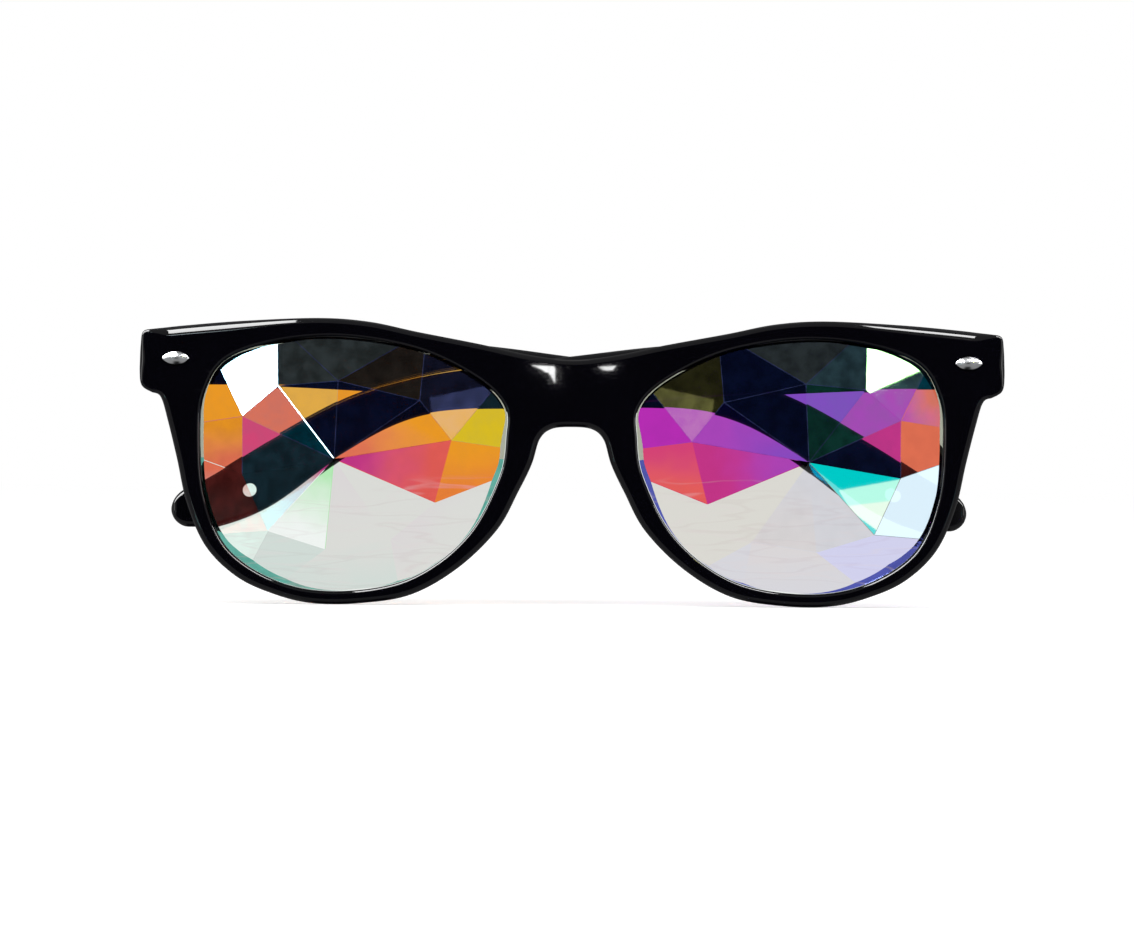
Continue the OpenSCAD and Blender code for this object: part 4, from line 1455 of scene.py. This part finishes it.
    def build(self, side: Side, wardrobe: Wardrobe, stud: Stud) -> bpy.types.Object:
        """Makes one temple with its stud recess and cord hole, folded."""
        obj = self.skin()
        seat = stud.seat(self.stud_s, self.outer, self.hinge_z, back=True)
        bore = round_outline(self.length - self.hole_in, self.hole_up - self.tip_drop, self.hole_r)
        hole = prism_y("cord_hole", bore, self.inner - 2, self.outer + 2)
        round_edges(obj, self.butt_r, 3, 60)
        cut_away(obj, [seat, hole])
        round_edges(obj, self.lip_r, 2, 50)
        obj.name = side.word + "_temple_arm_skin"
        obj.data.transform(self.matrix(side))
        tidy_mesh(obj, 0.0005)
        even_gloss(obj)
        dress(obj, wardrobe.plastic)
        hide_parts(side.word + "_temple")
        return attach(obj, side.word + "_temple_arm")


# The hinges


@dataclass
class Hinge:
    """The metal of one hinge: leaves and screw after their CAD nodes, and rivets of its own."""

    front: RimFront
    temple: Temple
    rivets: Rivets
    stud: Stud
    edge_r: float = 0.07

    def metal(self, node: str, body: str, finish: bpy.types.Material) -> bpy.types.Object:
        """Makes one hinge piece from a merged copy of its CAD node, with its edges broken.

        Args:
            node: the CAD node it is copied from and stands for.
            body: the CAD body it rides on.
            finish: its finish.

        Returns:
            The piece.
        """
        obj = bpy.data.objects.new(node + "_metal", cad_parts[node].data.copy())
        bpy.context.scene.collection.objects.link(obj)
        tidy_mesh(obj, 0.002)
        round_edges(obj, self.edge_r, 2, 40)
        smooth_but_creases(obj, 28)
        dress(obj, finish)
        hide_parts(node)
        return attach(obj, body)

    def build(self, side: Side, wardrobe: Wardrobe) -> list[bpy.types.Object]:
        """Makes one hinge, its rivets and the studs beside it."""
        word, t, f = side.word, self.temple, self.front
        arm = word + "_temple_arm"
        made = [self.metal(f"{word}_{part}", body, wardrobe.steel) for part, body in (
            ("front_hinge_leaf", "front"), ("temple_hinge_leaf", arm), ("hinge_screw", "front"))]
        ax, ay = f.axis
        small, about = Matrix.Scale(MM, 4), Matrix.Rotation(math.pi, 4, "Z")
        leaf_end = shift(ax - f.leaf_len + t.rivet_s, ay - f.barrel_r + t.leaf_t, t.hinge_z)
        places = {"front_leaf_rivets": Matrix.Scale(side.value, 4, (1, 0, 0)) @ leaf_end,
                  "temple_leaf_rivets": t.matrix(side) @ shift(f.leaf_len - t.rivet_s, t.inner - t.leaf_t,
                                                               t.hinge_z) @ about,
                  "front_stud": shift(side.value * (f.end_x - f.stud_in), -f.depth / 2, f.stud_z),
                  "temple_stud": t.matrix(side) @ shift(t.stud_s, t.outer, t.hinge_z) @ about}
        for part, place in places.items():
            maker = self.rivets if part.endswith("rivets") else self.stud
            body = "front" if part.startswith("front") else arm
            made.append(maker.build(f"{word}_{part}", body, place @ small, wardrobe))
        return made


# The studio


@dataclass(frozen=True)
class Card:
    """A glowing card that only gloss sees.

    Args:
        name: the card's name.
        corners: its corners in millimetres.
        glow: how bright it is, 1 being white.
        tone: its colour.
    """

    name: str
    corners: tuple
    glow: float
    tone: tuple = (1.0, 1.0, 1.0)

    def build(self) -> bpy.types.Object:
        """Makes the card."""
        obj = mesh_object(self.name, self.corners, [list(range(len(self.corners)))])
        m, b = new_board(self.name)
        b.surface(b.glow(self.glow, self.tone))
        obj.data.materials.append(m)
        obj.visible_camera = obj.visible_diffuse = obj.visible_transmission = obj.visible_shadow = False
        return obj


@dataclass(frozen=True)
class FacetCard:
    """A card that one facet, or the crease between two, shows the eye as a given shape.

    Args:
        name: the card's name.
        side: the lens.
        kinds: one facet, or the two beside the crease.
        spots: the shape's corners on the facet, from the lens's middle, X outwards and Z.
        glow: how bright the card is.
        tone: its colour.
        far: how far off it stands.
    """

    name: str
    side: Side
    kinds: tuple[int, ...]
    spots: tuple
    glow: float
    tone: tuple = (1.0, 1.0, 1.0)
    far: float = 640


FACET_CARDS = (
    FacetCard("left_corner_card", Side.LEFT, (11,), ((2, 3), (25, 3), (25, 27), (2, 27)), 30),
    FacetCard("right_corner_card", Side.RIGHT, (11,), ((5, 9.5), (24, 17.8), (24, 28), (5, 28)), 30,
              (1.0, 1.0, 0.3)),
    FacetCard("crease_card", Side.LEFT, (0, 1), ((-6, 4), (2, -6), (17, 10), (9, 20)), 14, (0.8, 0.95, 1.0)),
    FacetCard("turquoise_card", Side.RIGHT, (3,), ((-3, 3), (18, 3), (18, -16), (-3, -16)), 0.85,
              (0.0, 0.85, 1.0)),
    FacetCard("cyan_card", Side.RIGHT, (3,), ((5.1, -4.7), (18, -2.3), (18, -5.9), (6.7, -7.3)), 1.2,
              (0.5, 1.0, 1.0), 630),
    FacetCard("frost_card", Side.RIGHT, (3,), ((6.7, -7.3), (18, -5.9), (18, -16), (7.6, -8.5)), 1.25,
              (0.82, 0.97, 1.0), 630),
    FacetCard("cyan_streak_card", Side.RIGHT, (4,), ((-0.5, 0.5), (2.8, -2.4), (3.4, -3.8), (1.0, -2.2)), 6.0,
              (0.0, 0.6, 0.95)),
    FacetCard("mint_wash_card", Side.LEFT, (3,), ((-3, 1), (5, -4.6), (13, -9.8), (17, -11.4), (17, -22),
                                                  (-3, -22)), 3.5, (0.8, 1.0, 0.95)),
    FacetCard("mint_side_card", Side.LEFT, (13,), ((10, -8.2), (19.8, -12.4), (28, -14), (28, -26),
                                                   (10, -26)), 5.0, (0.36, 1.0, 1.0)),
    FacetCard("wash_card", Side.RIGHT, (13,), ((8, 4), (30, 4), (30, -22), (8, -22)), 1.15,
              (0.93, 0.96, 1.0)))
BROW_STRIPS = {Side.LEFT: (104, 1700, -520, -40), Side.RIGHT: (118, 900, -340, -110)}


@dataclass
class Studio:
    """The floor, the light and the camera.

    Args:
        front: the moulded front.
        lens: the lens whose facets the cards are set to.
        floor_z: the height of the floor, just under the rims.
        floor_half: half the floor's width.
        eye: the camera's place.
        width_seen: how wide the picture is at the front.
        roll: how far the camera is rolled, in degrees.
        room: how bright gloss sees the room above and beside it.
        table: how bright gloss sees what lies low.
        ahead: how bright gloss sees the dark part ahead of the glasses.
        behind: how bright gloss sees what lies behind them.
        fill: how much light the room gives matt surfaces.
        overhead: the height of the brow and bridge cards.
        spot_far: how far off the cards of the flat front stand.
    """

    front: RimFront
    lens: PrismLens
    floor_z: float = -30.3
    floor_half: float = 4000
    eye: tuple = (-0.76, -900.0, -6.18)
    width_seen: float = 192.1
    roll: float = 0.4
    room: float = 0.3
    table: float = 0.25
    ahead: float = 0.003
    behind: float = 0.1
    fill: float = 0.62
    overhead: float = 400
    spot_far: float = 120

    def world(self) -> None:
        """White to the eye and through glass; to gloss a dim room, dark straight ahead."""
        w = bpy.data.worlds.new("studio")
        bpy.context.scene.world = w
        w.use_nodes = True
        b = Board(w.node_tree)
        eye, through, glossy = b.rays()
        seen = eye.larger(through)
        spot = b.node("ShaderNodeTexCoord", {}, {}).outputs["Generated"]
        way = b.node("ShaderNodeSeparateXYZ", {}, {0: spot})
        x, y, z = (Signal(b, way.outputs[k]) for k in range(3))
        room = x.size().smooth(0.1, 0.22).larger(z.smooth(0.16, 0.3)) * self.room + self.ahead
        low = 0 - z
        table = low.smooth(0.12, 0.22) * (1 - low.smooth(0.8, 0.95)) * self.table
        front = room.larger(table)
        gloss = front + (self.behind - front) * y.smooth(0.4, 0.85)
        strength = glossy * gloss + (1 - glossy) * (seen + (1 - seen) * self.fill)
        b.surface(b.node("ShaderNodeBackground", {}, {"Color": (1, 1, 1), "Strength": strength}).outputs[0],
                  "ShaderNodeOutputWorld")

    def lamp(self, name: str, place: Point, size: float, power: float) -> None:
        """A soft square lamp that looks at the glasses."""
        data = bpy.data.lights.new(name, "AREA")
        data.size, data.energy = size, power
        obj = bpy.data.objects.new(name, data)
        obj.location = Vector(place) * MM
        obj.rotation_mode = "QUATERNION"
        obj.rotation_quaternion = (-obj.location).to_track_quat("-Z", "Y")
        obj.visible_camera = obj.visible_glossy = obj.visible_transmission = False
        bpy.context.scene.collection.objects.link(obj)

    def floor(self) -> None:
        """The white floor that the rims stand on."""
        s, z = self.floor_half, self.floor_z
        obj = mesh_object("floor", [(-s, -s, z), (s, -s, z), (s, s, z), (-s, s, z)], [[0, 1, 2, 3]])
        obj.data.materials.append(PaperFloor().make())
        obj.visible_glossy = False

    def camera(self) -> None:
        """The camera at the photograph's place, level, a hair rolled."""
        data = bpy.data.cameras.new("camera")
        data.sensor_width = 36.0
        data.lens = data.sensor_width * -self.eye[1] / self.width_seen
        data.clip_start, data.clip_end = 0.01, 50
        cam = bpy.data.objects.new("camera", data)
        cam.location = Vector(self.eye) * MM
        cam.rotation_mode = "QUATERNION"
        cam.rotation_quaternion = (Quaternion((1, 0, 0), math.pi / 2)
                                   @ Quaternion((0, 0, 1), math.radians(self.roll)))
        bpy.context.scene.collection.objects.link(cam)
        bpy.context.scene.camera = cam

    def mirrored(self, at: np.ndarray, way: np.ndarray, far: float) -> tuple[float, ...]:
        """Where a thing stands that a flat face shows the eye.

        Args:
            at: a point of the face.
            way: the face's outward way.
            far: how far off the thing is.

        Returns:
            The thing's place.
        """
        d = at - np.array(self.eye)
        d = d / np.linalg.norm(d)
        return tuple(at + far * (d - 2 * (d @ way) * way))

    def facet_card(self, card: FacetCard) -> None:
        """Makes a card where its facet shows it to the eye."""
        flip = np.array([card.side.value, 1, 1])
        faces = self.lens.facets()
        way = sum(faces[k][1] for k in card.kinds) * flip
        way = way / np.linalg.norm(way)
        p0 = faces[card.kinds[0]][0] * flip
        corners = []
        for x, z in card.spots:
            spot = self.lens.middle * flip + np.array([card.side.value * x, 0, z])
            spot[1] = p0[1] - ((spot - p0)[[0, 2]] @ way[[0, 2]]) / way[1]
            corners.append(self.mirrored(spot, way, card.far))
        Card(card.name, tuple(corners), card.glow, card.tone).build()

    def front_spot(self, name: str, spots: Sequence[Point], glow: float) -> None:
        """A card that the flat front shows the eye as the shape whose X and Z corners are given."""
        way = np.array([0.0, -1.0, 0.0])
        flat = [np.array([x, -self.front.depth / 2, z]) for x, z in spots]
        Card(name, tuple(self.mirrored(p, way, self.spot_far) for p in flat), glow).build()

    def build(self) -> None:
        """Sets up the studio."""
        bpy.context.scene.view_settings.view_transform = "Standard"
        self.world()
        self.floor()
        self.camera()
        self.lamp("key_lamp", (-420, -600, 700), 0.6, 3.0)
        self.lamp("fill_lamp", (480, -520, 600), 0.6, 2.2)
        for card in FACET_CARDS:
            self.facet_card(card)
        up = self.overhead
        corner = ((-34, 14.5), (-16, 10.5), (-17, 2), (-22, 2), (-34, 10))
        flank = ((560, -420, -40), (560, -160, -40), (560, -160, 160), (560, -420, 160))
        for side in Side:
            s, (inner, outer, near, far) = side.value, BROW_STRIPS[side]
            self.facet_card(FacetCard(f"{side.word}_corner_glow", side, (18,), corner, 2.0))
            brow = ((inner, near), (outer, near), (outer, far), (inner - 16, far))
            Card(f"{side.word}_brow_card", tuple((s * x, y, up) for x, y in brow), 20.0).build()
            Card(f"{side.word}_side_card", tuple((s * x, y, z) for x, y, z in flank), 3.0).build()
        Card("bridge_card", ((-34, 90, up), (34, 90, up), (34, 330, up), (-34, 330, up)), 0.5).build()
        left_spot = ((-6.9, 11.4), (-3, 11.4), (-3, 7.1), (-3.8, 8.7), (-5.1, 10.3))
        right_spot = ((4.3, 11.3), (7.4, 11.4), (7, 10.2), (5.4, 10.4))
        self.front_spot("left_bridge_spot", left_spot, 30)
        self.front_spot("right_bridge_spot", right_spot, 26)


def main() -> None:
    """Builds the glasses, piece by piece, and then the studio."""
    logging.basicConfig(level=logging.INFO, format="%(name)s: %(message)s")
    wardrobe = Wardrobe.stock()
    front, stud = RimFront(), Stud()
    temple, lens = Temple(front), PrismLens(front)
    hinge = Hinge(front, temple, Rivets(), stud)
    pieces = [front.build(wardrobe, stud)]
    for side in Side:
        pieces += [lens.build(side), temple.build(side, wardrobe, stud), *hinge.build(side, wardrobe)]
    for piece in pieces:
        log.info("%s: %d faces", piece.name, len(piece.data.polygons))
    Studio(front, lens).build()
    note_size()


if __name__ == "__main__":
    main()
